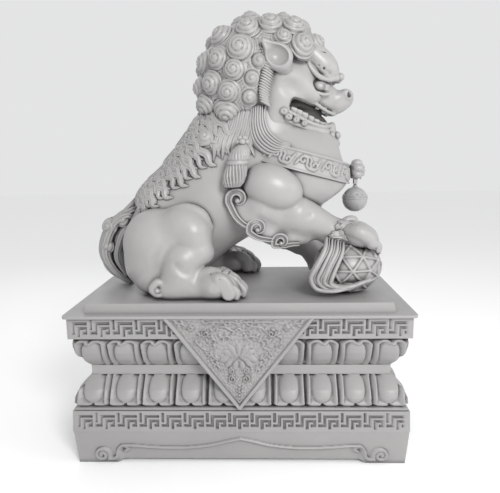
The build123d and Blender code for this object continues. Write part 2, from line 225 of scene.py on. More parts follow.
def build_mesh(name, points, polygons):
    """A mesh from points in metres and a list of index arrays, one row for each polygon."""
    mesh = bpy.data.meshes.new(name)
    mesh.vertices.add(len(points))
    mesh.vertices.foreach_set("co", np.ascontiguousarray(points, np.float32).ravel())
    sizes = []
    corners = []
    for rows in polygons:
        rows = np.atleast_2d(np.asarray(rows, np.int32))
        if rows.size:
            sizes.append(np.full(len(rows), rows.shape[1], np.int32))
            corners.append(rows.ravel())
    sizes = np.concatenate(sizes)
    corners = np.concatenate(corners)
    mesh.loops.add(len(corners))
    mesh.loops.foreach_set("vertex_index", corners)
    mesh.polygons.add(len(sizes))
    starts = np.concatenate(([0], np.cumsum(sizes)[:-1])).astype(np.int32)
    mesh.polygons.foreach_set("loop_start", starts)
    mesh.polygons.foreach_set("loop_total", sizes)
    mesh.update(calc_edges=True)
    mesh.validate()
    mesh.shade_smooth()
    return mesh


def signed_volume(mesh):
    """Six times the volume inside a closed mesh: negative when its faces look inwards."""
    places = np.empty(len(mesh.vertices) * 3, np.float32)
    mesh.vertices.foreach_get("co", places)
    mesh.calc_loop_triangles()
    triangles = np.empty(len(mesh.loop_triangles) * 3, np.int32)
    mesh.loop_triangles.foreach_get("vertices", triangles)
    a, b, c = places.reshape(-1, 3).astype(float)[triangles.reshape(-1, 3).T]
    return (a * np.cross(b, c)).sum()


def add_piece(name, points, polygons, body, material, replaced=(), crisp=None):
    """Links a closed mesh as a piece that rides on a body and stands for its CAD nodes."""
    mesh = build_mesh(name, points, polygons)
    if signed_volume(mesh) < 0:
        mesh.flip_normals()
    if crisp is not None:
        mesh.set_sharp_from_angle(angle=np.radians(crisp))
    mesh.materials.append(material)
    piece = bpy.data.objects.new(name, mesh)
    bpy.context.scene.collection.objects.link(piece)
    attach(piece, body)
    if replaced:
        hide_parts(*replaced)


def add_figure_piece(name, points, polygons, replaced=(), material=PAINT):
    add_piece(name, over_slab(points), polygons, "lion", material, replaced)


def add_pedestal_piece(name, points, polygons, replaced=(), crisp=None):
    metres = over_floor(points)
    add_piece(name, metres, polygons, "pedestal", PLINTH_PAINT, replaced, crisp)


def merged(parts):
    """One point array and polygon list from several."""
    points = []
    polygons = []
    count = 0
    for part_points, part_polygons in parts:
        points.append(part_points)
        polygons += [np.asarray(rows) + count for rows in part_polygons]
        count += len(part_points)
    return np.concatenate(points), polygons


def grid_quads(rows, columns, wrap_columns=False):
    """Quads over a grid of points that are counted row by row."""
    r = np.arange(rows - 1)[:, None]
    c = np.arange(columns if wrap_columns else columns - 1)[None, :]
    nxt = (c + 1) % columns
    here = r * columns
    return np.stack((here + c, here + nxt, here + columns + nxt, here + columns + c), -1).reshape(-1, 4)


def tube(rings):
    """A closed skin over rings of points, flat at both ends."""
    count, around = rings.shape[:2]
    first = np.arange(around)
    ends = [first[None, ::-1], (first + (count - 1) * around)[None]]
    return rings.reshape(-1, 3), [grid_quads(count, around, wrap_columns=True)] + ends


def full_circle(count):
    return np.linspace(0, 2 * np.pi, count, endpoint=False)[None, :]


def spread(values, count):
    """The values read off at evenly spaced places, from the first to the last."""
    values = np.atleast_1d(np.asarray(values, float))
    return np.interp(np.linspace(0, 1, count), np.linspace(0, 1, len(values)), values)


def smoothstep(low, high, value):
    """0 below low, 1 above high and an even rise between them."""
    t = np.clip((value - low) / (high - low), 0, 1)
    return t * t * (3 - 2 * t)


def curve_through(points, count):
    """Points of a smooth curve through the given ones, evenly spaced in parameter."""
    p = np.asarray(points, float)
    p = np.concatenate((2 * p[:1] - p[1:2], p, 2 * p[-1:] - p[-2:-1]))
    s = np.linspace(0, len(p) - 3 - 1e-9, count)
    i = s.astype(int)
    t = (s - i)[:, None]
    a, b, c, d = (p[i + k] for k in range(4))
    return 0.5 * (2 * b + (c - a) * t + (2 * a - 5 * b + 4 * c - d) * t**2 + (3 * b - a - 3 * c + d) * t**3)


def unit(v):
    v = np.asarray(v, float)
    return v / np.maximum(np.linalg.norm(v, axis=-1, keepdims=True), 1e-9)


# ---- clay: a distance field that shapes are joined to and cut from -------------------------------
def limb(a, b, radius_a, radius_b):
    """A bone: a tapering rod with round ends."""
    a = np.array(a, float)
    b = np.array(b, float)
    along = b - a
    reach = max(radius_a, radius_b)

    def distance(x, y, z):
        dx, dy, dz = x - a[0], y - a[1], z - a[2]
        t = np.clip((dx * along[0] + dy * along[1] + dz * along[2]) / (along @ along), 0, 1)
        dx = dx - t * along[0]
        dy = dy - t * along[1]
        dz = dz - t * along[2]
        return np.sqrt(dx * dx + dy * dy + dz * dz) - (radius_a + t * (radius_b - radius_a))

    return np.minimum(a, b) - reach, np.maximum(a, b) + reach, distance


def turned(angles):
    """Rotation about X, then Y, then Z, in degrees."""
    x, y, z = np.radians(angles)
    return np.array(
        Matrix.Rotation(z, 3, "Z") @ Matrix.Rotation(y, 3, "Y") @ Matrix.Rotation(x, 3, "X"), float
    )


def ovoid(centre, radii, angles=(0, 0, 0)):
    """An ellipsoid, turned by angles in degrees."""
    centre = np.array(centre, float)
    radii = np.array(radii, float)
    inverse = turned(angles).T
    reach = np.sqrt(((turned(angles) * radii) ** 2).sum(1))

    def distance(x, y, z):
        dx, dy, dz = x - centre[0], y - centre[1], z - centre[2]
        u = [(inverse[k, 0] * dx + inverse[k, 1] * dy + inverse[k, 2] * dz) / radii[k] for k in range(3)]
        k0 = np.sqrt(u[0] ** 2 + u[1] ** 2 + u[2] ** 2)
        k1 = np.sqrt((u[0] / radii[0]) ** 2 + (u[1] / radii[1]) ** 2 + (u[2] / radii[2]) ** 2)
        return k0 * (k0 - 1) / np.maximum(k1, 1e-6)

    return centre - reach, centre + reach, distance


def block(centre, half, rounding, angles=(0, 0, 0)):
    """A box with rounded edges, turned by angles in degrees."""
    centre = np.array(centre, float)
    half = np.array(half, float)
    inverse = turned(angles).T
    reach = (np.abs(turned(angles)) * half).sum(1)

    def distance(x, y, z):
        dx, dy, dz = x - centre[0], y - centre[1], z - centre[2]
        q = [
            np.abs(inverse[k, 0] * dx + inverse[k, 1] * dy + inverse[k, 2] * dz) - (half[k] - rounding)
            for k in range(3)
        ]
        outside = np.sqrt(sum(np.maximum(v, 0) ** 2 for v in q))
        return outside + np.minimum(np.maximum(q[0], np.maximum(q[1], q[2])), 0) - rounding

    return centre - reach, centre + reach, distance


def rope(points, radii, count=16):
    """A round cord through the points, whose radius may change along it."""
    path = curve_through(points, count)
    sizes = spread(radii, count)
    pieces = [limb(path[i], path[i + 1], sizes[i], sizes[i + 1]) for i in range(count - 1)]
    low = np.min([p[0] for p in pieces], 0)
    high = np.max([p[1] for p in pieces], 0)

    def distance(x, y, z):
        value = pieces[0][2](x, y, z)
        for piece in pieces[1:]:
            value = np.minimum(value, piece[2](x, y, z))
        return value

    return low, high, distance


SLOPE_REACH = 2.0  # millimetres
SNAP_ROUNDS = 12
SNAP_LIMIT = 12
SNAP_SHARE = 0.8


class Clay:
    """A block of space in which shapes are joined and cut with soft blends."""

    def __init__(self, low, high, step, mirrored=False):
        self.low = np.array(low, float)
        self.step = step
        self.mirrored = mirrored
        self.size = np.ceil((np.array(high) - self.low) / step).astype(int) + 1
        self.value = np.full(self.size, FAR, np.float32)

    def _window(self, shape, margin):
        low = np.array(shape[0], float)
        high = np.array(shape[1], float)
        if self.mirrored:
            low[1] = -max(abs(low[1]), abs(high[1]))
            high[1] = -low[1]
        first = np.clip(np.floor((low - margin - self.low) / self.step).astype(int), 0, self.size)
        last = np.clip(np.ceil((high + margin - self.low) / self.step).astype(int) + 1, 0, self.size)
        axes = [self.low[k] + self.step * np.arange(first[k], last[k], dtype=np.float32) for k in range(3)]
        x = axes[0][:, None, None]
        y = axes[1][None, :, None]
        z = axes[2][None, None, :]
        if self.mirrored:
            y = np.abs(y)
        return tuple(slice(first[k], last[k]) for k in range(3)), x, y, z

    def join(self, shape, blend=0.01):
        window, x, y, z = self._window(shape, 2 * blend + 4 * self.step)
        here = self.value[window]
        other = shape[2](x, y, z).astype(np.float32)
        h = np.clip(0.5 + 0.5 * (here - other) / blend, 0, 1)
        self.value[window] = here + (other - here) * h - blend * h * (1 - h)

    def cut(self, shape, blend=0.01):
        window, x, y, z = self._window(shape, 2 * blend + 4 * self.step)
        here = self.value[window]
        other = -shape[2](x, y, z).astype(np.float32)
        h = np.clip(0.5 - 0.5 * (here - other) / blend, 0, 1)
        self.value[window] = here + (other - here) * h + blend * h * (1 - h)

    def stand(self):
        """Cuts the clay flat where it stands on the slab."""
        z = self.low[2] + self.step * np.arange(self.size[2], dtype=np.float32)
        self.value = np.maximum(self.value, -z[None, None, :])

    def sample(self, points):
        """The distance at some points, read from the field."""
        q = (np.asarray(points, float) - self.low) / self.step
        q = np.clip(q, 0, np.array(self.size) - 1.001)
        i = q.astype(int)
        f = q - i
        total = 0.0
        for dx in (0, 1):
            for dy in (0, 1):
                for dz in (0, 1):
                    weight = (
                        (f[:, 0] if dx else 1 - f[:, 0])
                        * (f[:, 1] if dy else 1 - f[:, 1])
                        * (f[:, 2] if dz else 1 - f[:, 2])
                    )
                    total = total + weight * self.value[i[:, 0] + dx, i[:, 1] + dy, i[:, 2] + dz]
        return total

    def slope(self, points):
        """The way out of the clay at some points."""
        points = np.asarray(points, float)
        rises = [self.sample(points + step) - self.sample(points - step) for step in SLOPE_REACH * np.eye(3)]
        return unit(np.stack(rises, -1))

    def snapped(self, points, lift=0.0):
        """The points moved to the surface, or that far above it."""
        points = np.array(points, float)
        for _ in range(SNAP_ROUNDS):
            gap = np.clip(self.sample(points) - lift, -SNAP_LIMIT, SNAP_LIMIT)
            points = points - SNAP_SHARE * gap[:, None] * self.slope(points)
        return points

    def surface(self):
        """The points in millimetres and the quads of the surface."""
        field = np.clip(self.value / self.step, -3, 3).astype(np.float32)
        for axis in range(3):
            edge = [slice(None)] * 3
            for end in (0, -1):
                edge[axis] = end
                field[tuple(edge)] = np.maximum(field[tuple(edge)], 0.5)
        grid = openvdb.FloatGrid(background=3.0)
        grid.copyFromArray(field)
        points, triangles, quads = grid.convertToPolygons(isovalue=0.0, adaptivity=0.0)
        polygons = [quads.astype(np.int32), triangles.astype(np.int32)]
        return self.low + self.step * points.astype(float), polygons


class Joined(Clay):
    """Several fields read as one, for laying things on them."""

    def __init__(self, *fields):
        self.fields = fields

    def sample(self, points):
        return np.minimum.reduce([field.sample(points) for field in self.fields])


def add_clay_piece(name, clay, replaced=(), material=PAINT):
    add_figure_piece(name, *clay.surface(), replaced, material)


def mirrored_y(part):
    points, polygons = part
    return points * np.array([1, -1, 1]), [np.asarray(rows)[:, ::-1] for rows in polygons]


def add_sided_clay(side, name, clay, node):
    """A clay piece that is modelled on the left, and mirrored for the right."""
    part = clay.surface() if side > 0 else mirrored_y(clay.surface())
    add_figure_piece(f"{SIDE_NAME[side]}_{name}", *part, (f"{SIDE_NAME[side]}_{node}",))


# ---- strands: grooved locks, cords and beads -----------------------------------------------------
def strand(path, widths, thicknesses, up, grooves=0, depth=0.0, count=28, around=24):
    """A closed lock along a smooth path: elliptical section, grooves along it, closed ends."""
    line = curve_through(path, count)
    tangent = unit(np.gradient(line, axis=0))
    up = np.asarray(up, float)
    if up.ndim > 1 and len(up) != count:
        up = curve_through(up, count)
    side = unit(np.cross(tangent, np.broadcast_to(up, line.shape)))
    normal = np.cross(side, tangent)
    angle = full_circle(around)
    ridge = 1 + depth * np.cos(grooves * angle) if grooves else 1.0
    across = (spread(widths, count)[:, None] * np.cos(angle) * ridge)[..., None]
    out = (spread(thicknesses, count)[:, None] * np.sin(angle) * ridge)[..., None]
    return tube(line[:, None] + side[:, None] * across + normal[:, None] * out)


def ribbon(path, half_widths, section, up, count=60):
    """A moulding along a smooth path. The section is (across in half widths, out in millimetres)."""
    line = curve_through(path, count)
    tangent = unit(np.gradient(line, axis=0))
    side = unit(np.cross(tangent, np.broadcast_to(np.asarray(up, float), line.shape)))
    normal = np.cross(side, tangent)
    section = np.array(section, float)
    across = (spread(half_widths, count)[:, None] * section[:, 0])[..., None]
    return tube(line[:, None] + side[:, None] * across + normal[:, None] * section[:, 1][None, :, None])


def snail(foot, outward, radius, height, handed=1, turns=4.0, depth=1.9, rings=26, around=56, sink=3.0):
    """A curl wound like a snail's shell: a dome whose surface is one long coil."""
    normal = unit(outward)
    across = unit(np.cross(normal, (0.3, 0.1, 1.0)))
    other = np.cross(normal, across)
    t = np.linspace(0.035, 1, rings)[:, None]
    angle = full_circle(around)
    share = np.sin(t * np.pi / 2)
    r = radius * share
    lift = (height + sink) * (1 - share**2.3) - sink
    phase = turns * t - handed * angle / (2 * np.pi)
    coil = depth * (np.abs(np.cos(np.pi * phase)) ** 0.55 - 0.75) * smoothstep(0.03, 0.16, t)
    lean = 0.75 * share**2
    r = r + coil * lean
    lift = lift + coil * (1 - 0.6 * lean) + 1.2 * np.exp(-((t / 0.09) ** 2))
    points = (
        np.asarray(foot, float)
        + (r * np.cos(angle))[..., None] * across
        + (r * np.sin(angle))[..., None] * other
        + lift[..., None] * normal
    )
    tip = points[0].mean(0) + 0.3 * normal
    points = np.concatenate((points.reshape(-1, 3), tip[None]))
    first = np.arange(around)
    fan = np.stack((np.full(around, rings * around), (first + 1) % around, first), -1)
    bottom = (first + (rings - 1) * around)[None]
    return points, [grid_quads(rings, around, wrap_columns=True), fan, bottom]


# ---- relief on flat and ringed courses -----------------------------------------------------------
def line_distance(x, z, points):
    """The distance from each (x, z) to a polyline."""
    nearest = np.full(np.broadcast(x, z).shape, FAR)
    for (ax, az), (bx, bz) in zip(points[:-1], points[1:]):
        length = max((bx - ax) ** 2 + (bz - az) ** 2, 1e-9)
        t = np.clip(((x - ax) * (bx - ax) + (z - az) * (bz - az)) / length, 0, 1)
        nearest = np.minimum(nearest, np.hypot(x - ax - t * (bx - ax), z - az - t * (bz - az)))
    return nearest


def bead(distance, radius):
    """The section of a half-round bead."""
    return np.sqrt(np.clip(1 - (distance / radius) ** 2, 0, 1)) * radius


def spiral(centre, radius, turns, start=0.0, handed=1, inner=0.18, count=40):
    """A scroll that winds in from its rim."""
    t = np.linspace(0, 1, count)
    r = radius * (1 - (1 - inner) * t)
    angle = np.radians(start) + handed * 2 * np.pi * turns * t
    return np.stack((centre[0] + r * np.cos(angle), centre[1] + r * np.sin(angle)), -1)


CAVITY = (196.0, 92.0)  # half the length and half the depth of the hollow inside the courses


def round_the_corners(run, face):
    """What lies on one side of the pedestal, as X and Y for each of its four sides in turn."""
    return (run, -face), (face, run), (-run, face), (-face, -run)


def ring_course(name, node, levels, relief, columns, rows, base=None, crisp=None):
    """A hollow rectangular course. Relief is pushed out from its four faces, mitred at the corners.

    levels are (height, half length). relief(long_side, x, z, across, up) gives millimetres, where across
    runs from -1 to 1 along the side and up from 0 to 1. base(x) lifts the bottom edge.
    """
    heights, half_lengths = np.array(levels, float).T
    z = np.linspace(heights[0], heights[-1], rows)
    half_x = np.interp(z, heights, half_lengths)[:, None]
    half_y = half_x - NARROWER
    up = ((z - z[0]) / (z[-1] - z[0]))[:, None]
    outer = []
    inner = []
    for side in range(4):
        long_side = side % 2 == 0
        n = columns[0] if long_side else columns[1]
        half, reach = (half_x, half_y) if long_side else (half_y, half_x)
        hollow_half, hollow_reach = CAVITY if long_side else CAVITY[::-1]
        across = np.linspace(-1, 1, n, endpoint=False)[None, :]
        height = np.broadcast_to(z[:, None], (rows, n))
        push = np.broadcast_to(relief(long_side, across * half, height, across, up), (rows, n))
        if base is not None:
            height = z[-1] - (z[-1] - height) * (1 - base(across * half) / (z[-1] - z[0]))
        outer.append(np.stack((*round_the_corners(across * (half + push), reach + push)[side], height), -1))
        wall = round_the_corners(across[0] * hollow_half, np.full(n, hollow_reach))[side]
        inner.append(np.stack((*wall, height[0]), -1))
    outer = np.concatenate(outer, 1)
    bottom = np.concatenate(inner)
    top = bottom.copy()
    top[:, 2] = z[-1]
    points = np.concatenate((bottom[None], outer, top[None]))
    total = outer.shape[1]
    first = np.arange(total)
    nxt = (first + 1) % total
    last = (rows + 1) * total
    closing = np.stack((last + first, last + nxt, nxt, first), -1)
    quads = grid_quads(rows + 2, total, wrap_columns=True)
    add_pedestal_piece(name, points.reshape(-1, 3), [quads, closing], (node,), crisp)


# a unit of the key fret: grooves are marked with a hash
FRET_UNIT = (
    "#........",
    "#.######.",
    "#.#......",
    "#.#.####.",
    "..#.#..#.",
    "###.#.##.",
    "....#....",
)
FRET_CELLS = len(FRET_UNIT[0])
FRET_ROWS = len(FRET_UNIT)
SAMPLES_PER_CELL = 3
FRET_DEPTH = 2.7
FRET_PROUD = 0.6


def fret_relief(units):
    """Sunk grooves, in a whole number of units on the long and the short sides."""
    pattern = np.array([[cell == "#" for cell in row] for row in FRET_UNIT])

    def relief(long_side, x, z, across, up):
        total = units[0 if long_side else 1] * FRET_CELLS
        cell = np.floor((across + 1) / 2 * total + 1e-6).astype(int)
        row = np.floor((1 - up) * (FRET_ROWS + 2) - 1 + 1e-6).astype(int)
        inside = (row >= 0) & (row < FRET_ROWS) & (cell >= 2) & (cell < total - 2)
        groove = inside & pattern[np.clip(row, 0, FRET_ROWS - 1), cell % FRET_CELLS]
        return np.where(groove, FRET_PROUD - FRET_DEPTH, FRET_PROUD)

    return relief


def add_fret_band(name, node, *levels):
    units = (15, 8)
    columns = [n * FRET_CELLS * SAMPLES_PER_CELL for n in units]
    rows = (FRET_ROWS + 2) * SAMPLES_PER_CELL + 1
    ring_course(name, node, levels, fret_relief(units), columns, rows, crisp=40)


# on the long and on the short sides: how many petals, and half the length that they share
PETALS = (10, 5)
PETAL_RUN = (234.0, 128.4)
UPPER_PETAL_HEIGHT = 47.5
LOWER_PETAL_HEIGHT = 46.5


def petal_place(long_side, x):
    """Where a point lies in its own petal, from -1 to 1, and the petal's half width."""
    count = PETALS[0 if long_side else 1]
    run = PETAL_RUN[0 if long_side else 1]
    p = (x / run + 1) / 2 * count
    return (p - np.floor(p)) * 2 - 1, run / count


def rounded_dome(p, up, middle, half_width, half_height, fullness):
    """A boss with a rounded outline, from 0 at its edge to 1 on top."""
    k = np.abs(p / half_width) ** fullness + np.abs((up - middle) / half_height) ** fullness
    return np.sqrt(np.clip(1 - k, 0, 1))


def upper_petals(long_side, x, z, across, up):
    """Short petals, rim up, each with a boss in a hollow."""
    p, half = petal_place(long_side, x)
    side_gap = half * (0.97 - 0.06 * (1 - up) - np.abs(p))
    crown = 0.975 - 0.07 * np.exp(-((p / 0.16) ** 2)) - 0.55 * np.clip(np.abs(p) - 0.5, 0, None) ** 1.5
    top_gap = (crown - up) * UPPER_PETAL_HEIGHT
    inside = np.minimum(side_gap, top_gap)
    rise = smoothstep(-0.8, 2.2, inside)
    hollow = smoothstep(4.6, 8.0, inside)
    boss = 5.6 * rounded_dome(p, up, 0.42, 0.62, 0.46, 2.6)
    relief = -5.0 + 8.4 * rise - 4.4 * hollow + boss * smoothstep(2, 6, inside)
    return relief * (0.4 + 0.6 * smoothstep(0.0, 0.25, up))


def lower_petals(long_side, x, z, across, up):
    """Tall petals that hang, with a notched tip and a boss."""
    p, half = petal_place(long_side, x)
    aside = np.abs(p)
    side_gap = half * (0.965 - 0.04 * up - aside) + 0.8 * smoothstep(0.3, 0.12, up)
    bottom = 0.11 + 0.085 * np.exp(-((p / 0.13) ** 2)) + 0.5 * np.clip(aside - 0.72, 0, None) ** 1.3
    bottom_gap = (up - bottom) * LOWER_PETAL_HEIGHT
    inside = np.minimum(side_gap, bottom_gap)
    boss = 6.4 * rounded_dome(p, up, 0.66, 0.60, 0.42, 2.3)
    rise = smoothstep(-0.8, 2.0, inside)
    rim = 3.4 * rise - 4.2 * smoothstep(4.0, 7.4, side_gap) * smoothstep(0.14, 0.3, up)
    recess = -3.5 * smoothstep(0.93, 0.97, up) * smoothstep(0.32, 0.42, aside) * smoothstep(0.8, 0.7, aside)
    relief = -6.0 + rise * 6.0 + rim + boss * smoothstep(-1, 3, inside) + recess
    ledge = smoothstep(0.085, 0.07, up)
    return relief * (1 - ledge) + 0.5 * ledge


def apron_line():
    """The scroll line of one half of the apron: outer spiral, rise to the middle, and a hook."""
    scroll = spiral((200, 13), 11.5, 1.6, start=215, handed=-1)
    low = [(190.5, 6.5), (183, 7), (178, 12), (177, 19), (171, 24.5), (158, 25), (130, 22.5)]
    high = [(100, 21), (70, 22), (40, 26.5), (18, 33), (0, 37.5)]
    hook = curve_through([(172, 24), (166, 21), (165.5, 17), (169, 15)], 10)
    return scroll, curve_through(low + high, 60), hook


def shortened(line):
    """An apron line for the short side: the scroll moves in and the rise is squeezed."""
    along, height = line.T
    return np.stack((np.where(along > 150, along - NARROWER, along * (150 - NARROWER) / 150), height), -1)


def foot_relief(long_side, x, z, across, up):
    """A bead along the apron's scroll line, and a sunk panel below it."""
    lines = apron_line()
    if not long_side:
        lines = [shortened(line) for line in lines]
    ax = np.abs(x)
    nearest = np.minimum.reduce([line_distance(ax, z, line) for line in lines])
    rise = lines[1]
    order = np.argsort(rise[:, 0])
    line_height = np.interp(ax, rise[order, 0], rise[order, 1])
    limit = rise[:, 0].max() - 14
    below = smoothstep(0, 2, line_height - z) * smoothstep(limit, limit - 6, ax)
    return bead(nearest, 3.2) - 2.6 * below


def foot_base(x):
    """How far the apron stays off the floor between the corner feet."""
    half = np.abs(x).max()
    return 5.0 * smoothstep(half - 60, half - 68, np.abs(x))


LOWER_LOTUS = ((81.5, 238), (85.5, 238), (86.5, 233), (92, 236), (100, 235), (110, 230))
LOWER_LOTUS += ((119, 222), (126, 216), (128, 215))
UPPER_LOTUS = ((142, 216), (146, 219), (156, 225), (166, 230), (176, 233), (184, 234), (189.5, 234))
add_fret_band("upper_fret_relief", "upper_fret_band", (189.5, HALF_LENGTH), (DECK_HEIGHT, HALF_LENGTH))
add_fret_band("lower_fret_relief", "lower_fret_band", (51, HALF_LENGTH + 1), (81.5, HALF_LENGTH))
ring_course("lower_lotus_petals", "lower_lotus_course", LOWER_LOTUS, lower_petals, (400, 220), 44)
ring_course("upper_lotus_petals", "upper_lotus_course", UPPER_LOTUS, upper_petals, (400, 220), 44)
FOOT = ((0, HALF_LENGTH - 3), (51, HALF_LENGTH + 1))
ring_course("foot_apron", "pedestal_foot", FOOT, foot_relief, (420, 236), 44, foot_base, 50)


# ---- altar cloths --------------------------------------------------------------------------------
def petal_dome(x, z, centre, length, width, angle, height):
    """A leaf-shaped dome with a ridge, lying at an angle."""
    turn = np.radians(angle)
    u = (x - centre[0]) * np.cos(turn) + (z - centre[1]) * np.sin(turn)
    v = -(x - centre[0]) * np.sin(turn) + (z - centre[1]) * np.cos(turn)
    k = (u / length) ** 2 + (v / width) ** 2
    return height * np.sqrt(np.clip(1 - k, 0, 1))


def pebbles(x, z, pitch, seed):
    """A ground of close-set rounded grains, one in each cell of a jittered grid."""
    jitter = np.random.default_rng(seed).uniform(0.15, 0.85, (64, 64, 3))
    column = np.floor(x / pitch).astype(int)
    row = np.floor(z / pitch).astype(int)
    height = np.zeros(np.broadcast(x, z).shape)
    for dc in (-1, 0, 1):
        for dr in (-1, 0, 1):
            offset = jitter[(column + dc) % 64, (row + dr) % 64]
            dx = x - (column + dc + offset[..., 0]) * pitch
            dz = z - (row + dr + offset[..., 1]) * pitch
            size = (0.36 + 0.2 * offset[..., 2]) * pitch
            height = np.maximum(height, np.sqrt(np.clip(1 - (dx**2 + 1.4 * dz**2) / size**2, 0, 1)) * size)
    return height


# the ornament of a full-size cloth, about the middle of its top edge
LOTUS_HEIGHT = -54
LOTUS_RINGS = (
    # petals, reach, length, width, height
    (9, 15.5, 8.5, 4.6, 1.7),
    (7, 9.5, 6.8, 4.0, 2.3),
    (5, 4.5, 4.6, 3.0, 2.8),
)
CLOTH_SCROLLS = (((46, -22), 6.0), ((9.5, -88), 5.5), ((10, -76), 4.5), ((66, -14), 4.0))
CLOTH_VINES = (
    [(40, -22), (32, -14), (20, -12), (8, -18), (0, -14)],
    [(52, -24), (60, -30), (54, -40), (44, -46), (34, -42)],
    [(70, -14), (78, -8), (88, -7)],
    [(28, -34), (36, -30), (44, -34)],
    [(30, -60), (38, -54), (46, -52)],
    [(24, -76), (30, -68), (38, -64)],
    [(8, -30), (16, -26), (26, -28)],
    [(0, -8), (10, -5), (22, -6), (34, -5), (50, -7)],
)


def cloth_relief(x, z, half_top, drop, scale):
    """Lotus, leaf scrolls, ring bosses, spirals and beads inside a raised rim, on a stippled ground."""
    slant = np.hypot(half_top, drop)
    edge = (half_top * (drop + z) - drop * np.abs(x)) / slant
    ax = np.abs(x) / scale
    sz = z / scale
    layers = []
    for count, reach, length, width, height in LOTUS_RINGS:
        for k in range(count):
            angle = 90 + (k - (count - 1) / 2) * 300 / count
            turn = np.radians(angle)
            centre = (reach * np.cos(turn), LOTUS_HEIGHT + 0.62 * reach * np.sin(turn))
            layers.append(petal_dome(x / scale, sz, centre, length, width, angle, height))
    for k in range(6):
        angle = np.radians(200 + 28 * k)
        centre = (21 * np.cos(angle), LOTUS_HEIGHT + 15 * np.sin(angle))
        layers.append(petal_dome(x / scale, sz, centre, 7.5, 4.2, np.degrees(angle), 2.0))
    for centre, radius in CLOTH_SCROLLS:
        path = spiral(centre, radius, 1.4, start=90, handed=-1)
        layers.append(1.7 * bead(line_distance(ax, sz, path), 1.5))
    for vine in CLOTH_VINES:
        path = curve_through(vine, 14)
        layers.append(1.5 * bead(line_distance(ax, sz, path), 1.3))
        for k, (px, pz) in enumerate(path[1::3]):
            layers.append(petal_dome(ax, sz, (px, pz + 3.2 * (-1) ** k), 3.6, 1.9, 50 * (-1) ** k, 1.8))
    for k in range(6):
        layers.append(petal_dome(x / scale, sz, (0, -98 - 5.0 * k), 2.2, 1.9, 0, 1.9))
        layers.append(petal_dome(ax, sz, (4.6 - 0.5 * k, -96 - 5.0 * k), 1.8, 1.5, 0, 1.5))
    ornament = np.maximum.reduce(layers)
    stipple = np.maximum(0.5 * pebbles(x, z, 3.4, 7), 0.42 * pebbles(x + 40, z, 5.0, 11)) / scale
    ornament = 1.45 * ornament * (1 + 0.22 * np.sin(1.9 * x) * np.cos(1.7 * z))
    field = np.maximum(ornament, stipple) * scale
    rim = 3.0 * smoothstep(5.6, 4.2, edge) * smoothstep(0.0, 0.8, edge + 0.5)
    top_rim = 1.6 * smoothstep(-3.0, -2.2, z)
    return np.maximum(np.maximum(rim, top_rim), field * smoothstep(5.5, 7.0, edge))


CLOTH_GAP = 0.2


def add_altar_cloth(name, side, half_top, drop, scale):
    """A carved triangle that hangs from the deck on one side, counted round from the one in view."""
    columns = int(150 * (0.62 + 0.38 * scale))
    rows = int(118 * (0.62 + 0.38 * scale))
    across = np.linspace(-1, 1, columns)[None, :]
    down = np.linspace(0, 0.985, rows)[:, None]
    x = across * half_top * (1 - down)
    z = np.broadcast_to(-drop * down, x.shape)
    push = 2.2 + cloth_relief(x, z, half_top, drop, scale)
    front = np.stack((x, -push, z), -1).reshape(-1, 3)
    left = np.stack((x[:, 0], 0 * x[:, 0], z[:, 0]), -1)
    right = np.stack((x[:, -1], 0 * x[:, 0], z[:, 0]), -1)
    points = np.concatenate((front, left, right))
    n = rows * columns
    r = np.arange(rows - 1)
    front_left = r * columns
    front_right = front_left + columns - 1
    l0 = n + r
    r0 = n + rows + r
    polygons = [
        grid_quads(rows, columns),
        np.stack((front_left, front_left + columns, l0 + 1, l0), -1),
        np.stack((front_right, r0, r0 + 1, front_right + columns), -1),
        np.stack((l0, l0 + 1, r0 + 1, r0), -1),
        np.concatenate((np.arange(columns)[::-1], [n, n + rows]))[None],
        np.concatenate((np.arange(columns) + (rows - 1) * columns, [n + 2 * rows - 1, n + rows - 1]))[None],
    ]
    reach = HALF_DEPTH if side % 2 == 0 else HALF_LENGTH
    turn = np.radians(90 * side)
    c, s = np.cos(turn), np.sin(turn)
    y = points[:, 1] - reach - CLOTH_GAP
    placed = np.stack((c * points[:, 0] - s * y, s * points[:, 0] + c * y, points[:, 2] + DECK_HEIGHT), -1)
    add_pedestal_piece(f"carved_cloth_{name}", placed, polygons, (f"altar_cloth_{name}",))


# half width along the top edge, drop and scale of the ornament
LONG_SIDE_CLOTH = (105, 136, 1.0)
SHORT_SIDE_CLOTH = (62, 92, 0.62)
for side, name in enumerate(("front", "right", "back", "left")):
    add_altar_cloth(name, side, *(SHORT_SIDE_CLOTH if side % 2 else LONG_SIDE_CLOTH))


